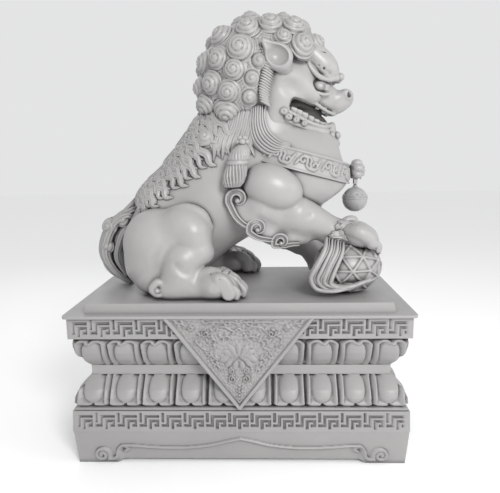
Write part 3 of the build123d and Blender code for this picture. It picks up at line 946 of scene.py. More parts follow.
# ---- body ----------------------------------------------------------------------------------------
def sculpt_body():
    """Trunk, rump, chest and throat, and the back that the hair lies on."""
    body = Clay((-205, -98, -4), (176, 98, 300), 1.9, mirrored=True)
    body.join(limb((-103, 0, 78), (-38, 0, 138), 71, 73))
    body.join(limb((-36, 0, 142), (84, 0, 180), 73, 74), 20)
    body.join(limb((-30, 0, 172), (40, 0, 222), 66, 58), 18)
    body.join(ovoid((92, 0, 170), (76, 77, 58), (0, 16, 0)), 12)
    body.join(limb((78, 0, 190), (60, 0, 236), 70, 48), 14)
    # room for the open mouth
    body.cut(block((114, 0, 266), (40, 60, 13), 6, (0, 20, 0)), 4)
    body.join(limb((92, 0, 186), (123, 0, 220), 60, 24), 18)
    body.join(limb((22, 0, 268), (-22, 0, 222), 58, 54), 16)
    for spread_out in (0, 26):
        body.join(limb((-36, spread_out, 210), (-118, spread_out, 130), 40, 33), 14)
        body.join(limb((-118, spread_out, 130), (-154, spread_out / 2, 88), 33, 24), 14)
    # waist in front of the haunch, and the hollow behind the shoulder
    body.cut(limb((-40, 104, 96), (10, 100, 60), 26, 20), 14)
    body.cut(limb((-14, 100, 150), (-2, 98, 200), 18, 14), 16)
    # underside of the chest, clear of the bell when it swings back
    body.cut(block((169.5, 0, 124), (38, 90, 30), 8, (0, -34, 0)), 8)
    body.stand()
    add_clay_piece("body", body, ("torso", "back_hair"))
    return body


body = sculpt_body()


# ---- hind legs -----------------------------------------------------------------------------------
def add_hind_leg(side, shift):
    """A folded hind leg, set forwards by some millimetres."""
    leg = Clay((shift - 186, 10, -4), (shift + 14, 122, 148), 1.25)

    def at(x, y, z):
        return shift + x, y, z

    leg.join(ovoid(at(-120, 62, 74), (54, 44, 55), (0, -14, 0)))
    leg.join(ovoid(at(-78, 80, 98), (38, 26, 34), (0, 20, 0)), 10)
    leg.join(limb(at(-136, 60, 44), at(-128, 64, 32), 37, 34), 10)
    leg.join(limb(at(-82, 82, 54), at(-86, 86, 30), 33, 30), 3)
    leg.join(limb(at(-86, 86, 30), at(-94, 90, 16), 28, 20), 8)
    leg.join(limb(at(-66, 84, 92), at(-56, 86, 66), 22, 20), 9)
    fold = [at(-122, 108, 26), at(-122, 108, 58), at(-108, 112, 80), at(-88, 114, 84)]
    fold += [at(-60, 114, 76), at(-42, 106, 80)]
    leg.cut(rope(fold, (3, 4, 4.5, 4, 3, 2), 24), 7)
    leg.cut(rope([at(-88, 116, 52), at(-74, 119, 42), at(-56, 113, 44)], (2, 4.5, 2)), 8)
    leg.cut(rope([at(-166, 104, 26), at(-140, 108, 24), at(-126, 106, 34)], (2, 3, 2)), 8)
    crest = [at(-130, 66, 112), at(-104, 74, 123), at(-76, 80, 131), at(-52, 80, 122), at(-42, 76, 102)]
    leg.join(rope(crest, (4, 5, 6, 6, 4)), 7)
    leg.join(limb(at(-104, 92, 14), at(-44, 92, 18), 19, 22), 9)
    leg.join(ovoid(at(-34, 92, 20), (26, 31, 22)), 8)
    leg.join(rope([at(-60, 96, 34), at(-40, 98, 38), at(-22, 98, 34)], (8, 9, 7)), 6)
    for toe in range(4):
        y = 70 + 14.5 * toe
        tip = (-4, 3, 2, -7)[toe]
        bone = [at(-42, 0.5 * y + 45, 30), at(-26, y, 31), at(-12 + tip, y + 1, 24), at(-7 + tip, y + 1, 12)]
        leg.join(rope(bone, (9, 10, 10.5, 11)), 2.5)
        leg.join(ovoid(at(-22 + tip, y, 33), (9, 8, 8), (0, 20, 0)), 2)
        claw = [at(0 + tip, y + 1, 20), at(5 + tip, y + 1, 13), at(4 + tip, y + 1, 5)]
        leg.join(rope(claw, (4.5, 5, 4)), 1.5)
        if toe:
            gap = [at(-48, y - 4, 46), at(-26, y - 7, 44), at(-6, y - 7, 32), at(3, y - 7, 10)]
            leg.cut(rope(gap, (1.4, 2.4, 2.4)), 2)
        for ring in range(3):
            x = -34 + tip + 9 * ring
            top = 43 - 1.2 * ring**2
            leg.cut(rope([at(x + 2, y - 6, top - 6), at(x, y, top), at(x - 3, y + 7, top - 5)], 1.0), 1.5)
    heel_curl = [at(-106, 104, 22), at(-116, 106, 26), at(-124, 106, 16), at(-116, 106, 8), at(-108, 104, 10)]
    leg.join(rope(heel_curl, (5, 6, 6, 5, 4)), 2)
    leg.join(ovoid(at(-116, 111, 15), (4, 4, 4)), 1)
    leg.stand()
    add_sided_clay(side, "haunch", leg, "hind_leg")


add_hind_leg(-1, 0)
add_hind_leg(1, 18)


# ---- forelegs ------------------------------------------------------------------------------------
def sculpt_right_foreleg():
    """The raised foreleg, with its paw on the ball."""
    leg = Clay((-26, -118, 44), (216, -14, 208), 1.25)
    leg.join(limb((36, -56, 130), (88, -56, 110), 38, 28))
    leg.join(limb((84, -62, 118), (142, -57, 90), 29, 19), 8)
    web = [(-2, -70, 140), (6, -70, 116), (28, -71, 98), (46, -71, 86), (66, -70, 80), (96, -64, 82)]
    leg.join(rope(web, (12, 14, 13, 12, 10, 8), 20), 14)
    leg.join(ovoid((49, -76, 158), (45, 30, 33), (0, 22, 0)), 3)
    elbow_fold = [(0, -104, 142), (22, -106, 122), (52, -108, 110), (84, -104, 108), (104, -88, 120)]
    leg.cut(rope(elbow_fold, (2, 3.5, 4.5, 4, 2)), 7)
    leg.cut(rope([(30, -94, 112), (64, -92, 92), (100, -84, 80), (128, -80, 78)], (4, 5, 4, 2)), 9)
    leg.join(limb((140, -57, 88), (160, -56, 86), 21, 22), 8)
    leg.join(ovoid((172, -56, 84), (26, 38, 17), (0, 20, 0)), 6)
    for toe in range(4):
        y = -89 + 21 * toe
        reach = (0, 7, 7, 0)[toe]
        drop = (8, 2, 0, 0)[toe]
        bone = [(154, 0.5 * y - 28, 94), (170 + reach, y, 94), (184 + reach, y, 86)]
        bone.append((190 + reach, y, 70 + drop))
        leg.join(rope(bone, (9, 11, 11, 9)), 3)
        leg.join(ovoid((176 + reach, y, 95), (10, 9, 8), (0, 25, 0)), 2)
        claw = [(190 + reach, y, 74 + drop), (198 + reach, y, 68 + drop), (199 + reach, y, 58 + drop)]
        leg.join(rope(claw, (5.5, 4.8, 2.5)), 1.5)
        if toe:
            gap = [(156, y - 7, 103), (176, y - 10.5, 100), (192, y - 10.5, 84), (198, y - 10.5, 64)]
            leg.cut(rope(gap, (1.4, 2.2, 2.2)), 3)
    leg.join(rope([(150, -66, 100), (158, -64, 108), (168, -62, 108), (170, -62, 101)], (5, 6, 6.5, 5)), 2)
    add_clay_piece("right_arm", leg, ("right_foreleg",))
    return leg


def add_left_foreleg():
    """The standing foreleg."""
    leg = Clay((-14, 20, -4), (186, 110, 200), 1.25)
    leg.join(limb((48, 58, 128), (86, 62, 96), 36, 28))
    leg.join(limb((84, 64, 98), (122, 68, 40), 27, 21), 12)
    web = [(6, 70, 128), (16, 70, 104), (38, 70, 88), (54, 70, 68), (68, 70, 56), (92, 68, 44)]
    leg.join(rope(web, (12, 14, 13, 12, 10, 8), 20), 14)
    leg.join(ovoid((49, 76, 156), (45, 29, 33), (0, 26, 0)), 3)
    leg.cut(rope([(6, 104, 134), (26, 106, 116), (52, 108, 106), (84, 100, 108)], (2, 3.5, 4.5, 2)), 7)
    leg.join(limb((124, 68, 40), (134, 68, 20), 21, 22), 6)
    leg.join(ovoid((142, 68, 16), (28, 32, 22)), 6)
    for toe in range(4):
        y = 44 + 16 * toe
        reach = (0, 6, 6, 0)[toe]
        bone = [(132, 0.5 * y + 34, 30), (148, y, 30), (160 + reach, y, 23), (163 + reach, y, 12)]
        leg.join(rope(bone, (9, 10, 10.5, 11)), 2.5)
        leg.join(rope([(168 + reach, y, 20), (173 + reach, y, 13), (173 + reach, y, 5)], (4.5, 5, 4)), 1.5)
        if toe:
            gap = [(134, y - 5, 42), (150, y - 8, 41), (168, y - 8, 28), (174, y - 8, 10)]
            leg.cut(rope(gap, (1.2, 2.2, 2.2)), 2)
    leg.stand()
    add_clay_piece("left_arm", leg, ("left_foreleg",))


right_arm = sculpt_right_foreleg()
add_left_foreleg()


# ---- head ----------------------------------------------------------------------------------------
UPPER_LIP = [(72, 45, 284), (76, 45, 290), (84, 43, 290), (98, 39, 285), (112, 34, 279)]
UPPER_LIP += [(124, 27, 272), (134, 19, 267), (143, 10, 265), (146, 0, 265)]


def sculpt_head():
    head = Clay((0, -88, 212), (182, 88, 378), 1.1, mirrored=True)
    head.join(ovoid((66, 0, 312), (58, 60, 52)))
    head.join(ovoid((58, 20, 282), (40, 38, 42)), 14)
    head.join(ovoid((50, 0, 252), (34, 52, 38)), 16)
    head.join(limb((92, 0, 300), (144, 0, 285), 38, 20), 12)
    head.join(limb((62, 52, 320), (110, 34, 291), 13, 12), 12)
    head.join(ovoid((112, 0, 330), (32, 34, 26), (0, 40, 0)), 12)
    # nose: a tube that turns up, with round nostrils
    head.join(rope([(132, 0, 288), (148, 0, 282), (160, 0, 286), (163, 0, 291)], (16, 14, 13.5, 11.5)), 8)
    head.join(rope([(150, 12, 288), (160, 14, 294), (165, 12, 291)], (6, 7, 6)), 5)
    head.cut(ovoid((168, 18, 293), (5.5, 5, 5.5)), 2)
    head.cut(limb((166, 15, 292), (156, 10, 288), 3.8, 3), 1.5)
    head.cut(rope([(136, 0, 305), (148, 0, 303), (156, 0, 311)], (5, 8, 7)), 8)
    # hollow cheek between the ridge and the mouth, and the eye socket
    head.cut(ovoid((82, 66, 296), (16, 10, 9), (0, 24, 0)), 12)
    head.cut(ovoid((126, 38, 302), (17, 12, 11), (0, 12, 0)), 6)
    head.cut(rope([(60, 62, 256), (84, 56, 246), (112, 42, 236)], (2, 4, 5)), 12)
    # mouth: a slanted slot through both cheeks, open below its front half
    slot = [(82, 50, 277), (98, 44, 272), (114, 36, 264), (130, 22, 257), (138, 0, 254)]
    head.cut(rope(slot, (8, 9, 9, 8, 7)), 2)
    head.cut(block((110, 0, 265), (36, 60, 9.5), 6, (0, 20, 0)), 3)
    head.cut(block((134, 0, 236), (48, 70, 21), 8, (0, 22, 0)), 4)
    head.join(rope(UPPER_LIP, 2.6, 30), 2.5)
    add_clay_piece("skull", head, ("head",))
    return head


head = sculpt_head()


def add_jaw():
    """The jaw with its rolled lip, a fold below it and knobs at its corners."""
    jaw = Clay((48, -62, 212), (160, 62, 288), 1.0, mirrored=True)
    bone = [(64, 40, 255), (86, 35, 249), (108, 28, 241), (126, 18, 236), (136, 0, 236)]
    trough = [(76, 28, 284), (92, 25, 275), (112, 18, 265), (128, 8, 258), (132, 0, 258)]
    lip = [(68, 53, 268), (90, 47, 257), (108, 39, 249), (126, 28, 245), (139, 12, 247), (144, 0, 250)]
    fold = [(70, 51, 254), (92, 44, 245), (110, 35, 238), (126, 24, 233), (137, 10, 232)]
    jaw.join(rope(bone, (12, 12, 11, 10, 9), 24))
    jaw.join(limb((76, 0, 242), (126, 0, 234), 30, 14), 6)
    jaw.cut(rope(trough, (12, 12, 12, 10, 9), 24), 3)
    jaw.cut(block((100, 0, 276), (40, 26, 12), 6, (0, 18, 0)), 3)
    jaw.join(rope(lip, 3.0, 26), 1.6)
    jaw.join(rope(fold, 3.0, 26), 1.6)
    jaw.join(ovoid((139, 0, 241), (10, 14, 11)), 5)
    for k, (x, y, z) in enumerate(((66, 55, 266), (73, 54, 258), (84, 51, 254), (96, 46, 249))):
        jaw.join(ovoid((x, y, z), (6.6 - 0.5 * k, 6, 5.8 - 0.4 * k)), 1)
        jaw.cut(ovoid((x, y + 6.5, z), (2.2, 2.4, 2.2)), 1)
    add_clay_piece("jaw", jaw, ("lower_jaw",))


add_jaw()


def add_mouth_parts():
    tongue = Clay((60, -30, 240), (140, 30, 290), 1.2, mirrored=True)
    tongue.join(rope([(76, 14, 266), (100, 12, 263), (120, 6, 255), (128, 0, 251)], (12, 11, 9, 7)))
    tongue.join(rope([(80, 22, 282), (100, 18, 277), (118, 8, 268)], (11, 9, 7)), 4)
    tongue.cut(rope([(80, 0, 290), (102, 0, 284), (124, 0, 268)], 3), 4)
    # the tongue gets the painted mouth shade, dark as the shadow inside the mouth
    add_clay_piece("tongue_relief", tongue, ("tongue",), MOUTH_PAINTED_SHADE)
    teeth = Clay((62, -56, 240), (146, 56, 292), 0.9, mirrored=True)
    row = curve_through([(80, 44, 266), (94, 40, 260), (110, 32, 252), (124, 21, 246), (132, 7, 246)], 8)
    for k, (x, y, z) in enumerate(row):
        teeth.join(block((x, y, z), (5.4, 3.4, 6.5), 2.4, (0, 18, 0)), 0.5)
    upper = curve_through([(118, 25, 275), (128, 17, 270), (134, 6, 267)], 3)
    for x, y, z in upper:
        teeth.join(block((x, y, z), (3.6, 3.0, 5.0), 2.0, (0, 18, 0)), 0.5)
    add_clay_piece("teeth", teeth, ("lower_teeth",))


add_mouth_parts()


def add_eyes_and_brows():
    eyes = Clay((96, -52, 282), (152, 52, 324), 0.9, mirrored=True)
    eyes.join(ovoid((119, 29, 302), (13, 11, 10), (0, 10, 0)))
    eyes.join(block((128, 37, 300), (4.2, 4.5, 4.6), 1.6, (0, 10, 40)), 1)
    eyes.join(rope([(106, 38, 299), (114, 41, 293), (126, 39, 290), (136, 33, 293)], (2, 2.6, 2.6, 2)), 2)
    add_clay_piece("eyeballs", eyes, ("eyes",))
    brows = Clay((78, -56, 296), (170, 56, 374), 1.0, mirrored=True)
    brows.join(ovoid((121, 21, 338), (34, 19, 20), (0, 42, 0)))
    brows.join(ovoid((104, 20, 352), (20, 18, 20)), 10)
    rim = [(97, 36, 350), (102, 40, 334), (112, 40, 320), (128, 33, 312), (146, 22, 315)]
    brows.join(rope(rim, (3, 4, 4, 4, 4.5)), 3)
    brows.cut(rope([(104, 44, 350), (110, 46, 334), (120, 44, 325), (134, 36, 320)], (2, 3, 3, 2)), 4)
    brows.join(ovoid((152, 14, 318), (6.5, 6.5, 6)), 3)
    brows.cut(rope([(98, 0, 366), (128, 0, 362), (152, 0, 336), (158, 0, 316)], (3, 5, 5, 5)), 6)
    for k, (x, z) in enumerate(((110, 338), (117, 331), (125, 327))):
        brows.cut(ovoid((x, 42 - 2.0 * k, z), (1.8, 3.2, 1.8)), 1.5)
    brows.cut(rope([(120, 38, 352), (134, 30, 344), (144, 24, 332)], (0.6, 1.2, 0.6)), 2)
    add_clay_piece("brow_ridges", brows, ("brows",))


add_eyes_and_brows()


def add_ear(side):
    """A leaf-shaped ear, hollowed on its outer face."""
    ear = Clay((20, 48, 306), (92, 104, 372), 1.0)
    ear.join(ovoid((57, 72, 338), (22, 11, 19), (0, 20, 8)))
    ear.join(limb((52, 74, 344), (38, 80, 357), 13, 4), 6)
    ear.join(ovoid((66, 62, 326), (12, 14, 12)), 6)
    ear.cut(ovoid((57, 86, 338), (17, 15, 14.5), (0, 24, 8)), 2)
    ear.cut(limb((52, 86, 344), (42, 87, 353), 10, 5), 2)
    add_sided_clay(side, "ear_leaf", ear, "ear")


for side in BOTH:
    add_ear(side)

# ---- mane ----------------------------------------------------------------------------------------
# snail curls: azimuth (0 is forwards), elevation, radius; mirrored to both sides unless on the middle
CURLS = (
    (0, 86, 18),
    (0, 50, 18),
    (36, 66, 16),
    (47, 43, 19),
    (78, 49, 19),
    (44, 21, 19),
    (15, 26, 17),
    (64, 30, 14),
    (110, 43, 18),
    (111, 20, 20),
    (145, 35, 18),
    (126, 64, 18),
    (180, 64, 18),
    (180, 33, 18),
    (132, 10, 18),
    (157, 10, 18),
    (180, 6, 17),
    (113, -1, 17),
    (137, -12, 18),
    (162, -14, 18),
    (117, -22, 17),
    (180, -30, 18),
    (152, -32, 19),
    (123, -43, 20),
    (164, -54, 17),
    (88, 7, 12),
    (93, -11, 12),
    (93, -30, 12),
)
MANE_CENTRE = np.array([27.0, 0.0, 323.5])
MANE_RADII = np.array([81.0, 73.0, 76.0])
MANE_FRONT = 90.0
MANE_LEAN = 0.17  # forwards for each millimetre up
MANE_FULLNESS = 2.5
CURL_HEIGHT = 0.76  # of the curl's radius
COILS = 4.8
COIL_DEPTH = 2.7


def mane_point(directions):
    """Where a ray from the mane's middle leaves it, and the way out there."""
    radii = np.broadcast_to(MANE_RADII, directions.shape).copy()
    radii[:, 0] = np.where(directions[:, 0] > 0, MANE_FRONT, MANE_RADII[0])
    share = np.abs(directions) / radii
    reach = (share**MANE_FULLNESS).sum(1) ** (-1 / MANE_FULLNESS)
    outward = unit(np.sign(directions) * share ** (MANE_FULLNESS - 1) / radii)
    points = directions * reach[:, None]
    points[:, 0] += MANE_LEAN * points[:, 2]
    return MANE_CENTRE + points, outward


def cube_sphere(n):
    """Even unit directions and quads, from a cube blown up to a ball."""
    t = np.tan(np.linspace(-1, 1, n + 1) * np.pi / 4)
    a, b = np.meshgrid(t, t, indexing="ij")
    one = np.ones_like(a)
    faces = ((one, a, b), (-one, -a, b), (-a, one, b), (a, -one, b), (-b, a, one), (b, a, -one))
    points = np.concatenate([np.stack(f, -1).reshape(-1, 3) for f in faces])
    points = unit(points)
    quads = np.concatenate([grid_quads(n + 1, n + 1) + k * (n + 1) ** 2 for k in range(6)])
    keys = np.round(points * 1e5).astype(np.int64)
    _, first, inverse = np.unique(keys, axis=0, return_index=True, return_inverse=True)
    return points[first], inverse.reshape(-1)[quads]


SMALL_CURL = 13  # curls with a smaller radius are wound more simply
RIPPLE_PITCH = 4.2


def curl_direction(azimuth, elevation):
    a, e = np.radians((azimuth, elevation))
    return np.array([np.cos(e) * np.cos(a), np.cos(e) * np.sin(a), np.sin(e)])


def mane_curl(foot, way_out, radius, side):
    height = CURL_HEIGHT * radius
    if radius < SMALL_CURL:
        return snail(foot, way_out, 1.1 * radius, height, side, 2.4, 2.0, 18, 40)
    return snail(foot, way_out, 1.12 * radius, height, side, COILS, COIL_DEPTH * radius / 18)


def add_mane():
    """The curls, and the rippled ground between them, which leaves the face open."""
    directions, quads = cube_sphere(88)
    base, outward = mane_point(directions)
    curls = []
    nearest = np.full(len(base), FAR)
    ripple = np.zeros(len(base))
    for azimuth, elevation, radius in CURLS:
        for side in BOTH if azimuth % 180 else (1,):
            (foot,), (way_out,) = mane_point(curl_direction(side * azimuth, elevation)[None])
            curls.append(mane_curl(foot, way_out, radius, side))
            r = np.linalg.norm(base - foot, axis=1)
            closer = r / radius < nearest
            nearest = np.where(closer, r / radius, nearest)
            ripple = np.where(closer, np.abs(np.cos(np.pi * r / RIPPLE_PITCH)) ** 0.6 - 0.6, ripple)
    add_figure_piece("mane_curl_shells", *merged(curls), ("mane_curls",))
    azimuth = np.degrees(np.abs(np.arctan2(directions[:, 1], directions[:, 0])))
    elevation = np.degrees(np.arcsin(directions[:, 2]))
    face = smoothstep(86, 70, azimuth) * smoothstep(20, 8, elevation)
    height = 1.6 + 2.2 * ripple - 26 * face
    add_figure_piece("mane_ground", base + outward * height[:, None], [quads], ("mane_core",))


add_mane()


def add_cheek_comb():
    """Short slanting locks between the small curls and the cheek."""
    parts = []
    for k in range(21):
        z = 346 - 3.5 * k
        x = 41 + 3.0 * np.sin(k * 0.3)
        y = 71 - 0.0016 * (z - 322) ** 2
        path = [(x - 7, y + 3, z + 3.5), (x - 2, y + 3.5, z + 1), (x + 4, y + 0.5, z - 2.5)]
        path.append((x + 8, y - 5, z - 5))
        lock = strand(path, (1.5, 2.0, 1.9, 0.8), (2.0, 2.4, 2.0, 1.0), (0, 1, 0), 0, 0, 12, 10)
        parts += [lock, mirrored_y(lock)]
    add_figure_piece("cheek_comb", *merged(parts))


add_cheek_comb()


# ---- hair on the back ----------------------------------------------------------------------------
LOCK_STATIONS = 10
LOCK_WIDTHS = (0.6, 1.0, 1.05, 0.95, 0.8, 0.5, 0.1)  # from root to tip
LOCK_THICKNESSES = (0.6, 1.0, 1.0, 1.0, 0.9, 0.6, 0.2)


def surface_lock(field, path, width, thickness, lift=2.5, grooves=10, flick=0.0):
    """A pointed, grooved lock that lies on the body along a path; its tip may flick up."""
    line = field.snapped(curve_through(path, LOCK_STATIONS), lift)
    ups = field.slope(line)
    line = line + ups * (flick * np.linspace(0, 1, LOCK_STATIONS) ** 3)[:, None]
    widths = width * np.array(LOCK_WIDTHS)
    thicknesses = thickness * np.array(LOCK_THICKNESSES)
    return strand(line, widths, thicknesses, ups, grooves, 0.16, 18, 26)


# tips of the lowest row of locks, where they end on the flank: the first and the last
FIRST_TIP = np.array([-33, 78, 188])
LAST_TIP = np.array([-152, 64, 112])
DOWN_BACK = np.array([-0.72, 0, -0.69])
UP_BACK = np.array([-0.69, 0, 0.72])
HAIR_ROWS = (
    # how far up the back, sideways, length, lift, flick
    (0, 77, 46, 1.4, 0.0),
    (13, 71, 42, 2.0, 0.5),
    (25, 62, 40, 2.6, 1.0),
    (36, 51, 38, 3.0, 1.5),
    (46, 38, 36, 3.4, 2.0),
    (53, 24, 34, 3.8, 2.5),
    (57, 10, 32, 4.0, 3.0),
)
STATIONS = 11  # along the back
NECK_STATIONS = 4  # more, towards the head, from the third row up


def wavy_path(tip, reach, wave):
    return [
        tip + reach * UP_BACK * 0.92 + (0, -22, 0) - 7 * DOWN_BACK,
        tip + 0.72 * reach * UP_BACK + 4 * wave * DOWN_BACK + (0, -13, 0),
        tip + 0.45 * reach * UP_BACK - 1.5 * wave * DOWN_BACK + (0, -6, 0),
        tip + 0.20 * reach * UP_BACK + 5 * wave * DOWN_BACK,
        tip - 1.5 * DOWN_BACK,
    ]


def add_back_hair():
    """Rows of wavy locks down both sides, smooth ones on the neck, a ridge and two swirls."""
    rng = np.random.default_rng(3)
    parts = []
    for row, (rise, sideways, length, lift, flick) in enumerate(HAIR_ROWS):
        for k in range(-NECK_STATIONS if row > 1 else 0, STATIONS):
            station = FIRST_TIP + (LAST_TIP - FIRST_TIP) * ((k + 0.5 * (row % 2)) / STATIONS)
            big = k % 2 == row % 2
            tip = station + (rise + (0 if big else 6)) * UP_BACK + rng.uniform(-3, 3) * DOWN_BACK
            tip[1] = sideways
            wave = rng.uniform(0.6, 1.4)
            path = wavy_path(tip, length * rng.uniform(0.9, 1.1), wave)
            width = (6.6 if big else 5.2) * rng.uniform(0.9, 1.1)
            lock = surface_lock(body, path, width, 4.2, lift, 8, flick)
            parts += [lock, mirrored_y(lock)]
    for k in range(8):
        x = -30 + 7.0 * k
        low = 196 + 6 * (k % 2) + 1.5 * k
        path = [(x + 10, 62, 268), (x + 5, 70, 246), (x - 2, 76, 224), (x - 6, 78, low)]
        lock = surface_lock(body, path, 6.6, 4.0, 1.0, 9)
        parts += [lock, mirrored_y(lock)]
    ridge = curve_through([(-60, 0, 240), (-84, 0, 222), (-108, 0, 196), (-134, 0, 168), (-152, 0, 146)], 9)
    for k, root in enumerate(ridge):
        bend = 7 * (-1) ** k
        sideways = root + (0, bend, 0)
        path = [root + (10, 0, 6), sideways + 10 * DOWN_BACK, sideways + 24 * DOWN_BACK]
        path.append(root + 34 * DOWN_BACK - 4 * UP_BACK)
        parts.append(surface_lock(body, path, 8.5, 5.6, 4.5, 10, 4.0))
    swirl_at = body.snapped(np.array([(-47.0, 62.0, 230.0), (-82.0, 52.0, 214.0)]), 1.0)
    outward = body.slope(swirl_at)
    for foot, up, radius in zip(swirl_at, outward, (15.5, 10.0)):
        curl = snail(foot, up, radius, 0.62 * radius, -1, 3.2, 1.8)
        parts += [curl, mirrored_y(curl)]
    add_figure_piece("hair_locks", *merged(parts))


add_back_hair()


# place and radius
NAPE_LOOPS = ((12, 82, 237, 6.5), (2, 82, 241, 5.5), (20, 80, 231, 5), (-8, 78, 244, 6.5), (10, 80, 249, 6))


def add_nape_loops():
    """Small loops of hair below the mane, beside the tassels, and short locks under them."""
    field = Joined(body, head)
    parts = []
    for x, y, z, radius in NAPE_LOOPS:
        foot = field.snapped(np.array([(x, y, z)], float), 0.5)
        up = field.slope(foot)[0]
        curl = snail(foot[0], up, radius, 0.34 * radius, 1, 1.7, 1.9, 16, 36, 2.0)
        parts += [curl, mirrored_y(curl)]
    for k in range(13):
        start = np.array([-42 + 5.4 * k, 76, 250 - 1.2 * k])
        reach = 40 - 1.6 * k + 5 * (k % 3)
        path = [start, start + (-2, 3, -0.3 * reach), start + (2, 4, -0.65 * reach), start + (6, 4, -reach)]
        lock = surface_lock(field, path, 3.6, 3.4, 0.8, 6)
        parts += [lock, mirrored_y(lock)]
    add_figure_piece("nape_loops", *merged(parts))


add_nape_loops()


def add_tail():
    """A bushy tail behind the rump: volutes at its top, and locks that sweep to the slab."""
    parts = []
    strands = []
    for k in range(11):
        y = 3.4 * (k - 5)
        bow = 11 * (1 - (y / 20) ** 2)
        ripple = 3.0 * (-1) ** k
        top = [(-160, 0.4 * y, 104), (-176 - 0.4 * bow, y, 113 + 0.4 * ripple), (-196 - 0.7 * bow, y, 102)]
        fall = [
            (-209 - bow + 0.3 * ripple, y, 76 + ripple),
            (-212 - bow - 0.5 * ripple, y, 52),
            (-206 - 0.8 * bow + 0.5 * ripple, 0.9 * y, 28),
            (-190 - 0.4 * bow, 0.8 * y, 12),
            (-180, 0.6 * y, 3),
        ]
        strands.append((top + fall, (4.0, 5.4, 6.2, 6.2, 6.0, 5.0, 4.0, 2.0)))
    for k in range(7):
        y = 4.0 * (k - 3)
        ripple = 2.0 * (-1) ** k
        inner = [(-160, 0.5 * y, 90), (-182, y, 92), (-196 + ripple, y, 74), (-198 - ripple, y, 44)]
        inner.append((-186, y, 14))
        strands.append((inner, (4.0, 5.2, 5.2, 4.6, 2.0)))
    for k in range(7):
        y = 4.6 * (k - 3)
        ripple = 2.5 * (-1) ** k
        crown = [(-144, 0.5 * y, 126), (-166, y, 123 + 0.5 * ripple), (-187, y, 113), (-205, y, 97)]
        crown.append((-213, y, 74))
        strands.append((crown, (4.0, 5.6, 6.2, 5.6, 2.6)))
    for path, sizes in strands:
        parts.append(strand(path, sizes, [0.9 * v for v in sizes], (0, 1, 0.1), 6, 0.22, 40, 26))
    for side in BOTH:
        # place, way out, radius, height, hand, turns and depth
        parts.append(snail((-209, side * 15, 96), (-0.3, side, 0.2), 14, 10, side, 3.2, 2.2))
        parts.append(snail((-186, side * 15, 107), (0.1, side, 0.5), 12, 8, side, 2.8, 1.9))
        parts.append(snail((-214, side * 16, 64), (-0.3, side, 0.1), 11, 8, -side, 2.6, 1.8))
    add_figure_piece("tail_locks", *merged(parts), ("tail",))


add_tail()


BURN_BACK = [(20, 74, 272), (18, 78, 246), (25, 79, 224), (42, 79, 209), (58, 74, 206), (76, 68, 212)]
BURN_FRONT = [(40, 66, 276), (39, 64, 254), (44, 63, 238), (54, 63, 227), (64, 63, 220), (74, 64, 220)]
BUNDLES = 7


def add_sideburns():
    """Flame-like locks that leave the last small curl and sweep forwards over the collar."""
    field = Joined(body, head)
    back, front = np.array((BURN_BACK, BURN_FRONT), float)
    parts = []
    for k in range(BUNDLES):
        share = k / (BUNDLES - 1)
        path = curve_through(back + (front - back) * share, 12)
        line = field.snapped(path, 1.0 + 3.0 * np.sin(np.pi * share))
        widths = (1.6, 2.6, 2.9, 2.9, 2.5, 2.0, 0.9)
        bundle = strand(line, widths, (3, 5, 5.5, 5.5, 4.5, 3.5, 1.5), field.slope(line), 0, 0, 36, 16)
        parts += [bundle, mirrored_y(bundle)]
    add_figure_piece("sideburns", *merged(parts))


add_sideburns()


# place and radius
CHIN_KNOBS = [(143, 9, 222, 7.5), (133, 18, 222, 6.5), (150, 0, 233, 6.5)]
CHIN_KNOBS += [(148, 0, 221, 7.5), (140, 16, 233, 5.5)]


def add_beard():
    beard = Clay((116, -34, 206), (164, 34, 252), 0.9, mirrored=True)
    for x, y, z, radius in CHIN_KNOBS:
        beard.join(ovoid((x, y, z), (radius, radius, radius)), 1.5)
    add_clay_piece("chin_curls", beard, ("beard",))


add_beard()


# ---- collar, flower, tassels ---------------------------------------------------------------------
COLLAR_HEIGHT = 30.0
COLLAR_THICKNESS = 9.0
COLLAR_PLACE = (87, 0, 196)
COLLAR_TILT = 15  # down at the front, in degrees
COLLAR_RADIUS = 86  # that the ornament is laid out on
SCROLL_PITCH = 40.0


def collar_ornament(along, height):
    """S-scrolls in pairs: a height in millimetres at each place of the unrolled band."""
    lines = [
        spiral((11, 2.0), 7.0, 1.15, start=-35, inner=0.25, count=22),
        spiral((29, -2.0), 7.0, 1.15, start=145, inner=0.25, count=22),
        curve_through([(16.5, -2.5), (18.5, -6.5), (23, -8), (29, -8.5)], 8),
        curve_through([(23.5, 2.5), (21.5, 6.5), (17, 8), (11, 8.5)], 8),
        curve_through([(-2, -7), (2, -4), (4, 1)], 6),
        curve_through([(38, 7), (36, 4), (34, -1)], 6),
    ]
    along = np.mod(along, SCROLL_PITCH)
    return np.maximum.reduce([bead(line_distance(along, height, line), 2.1) for line in lines])


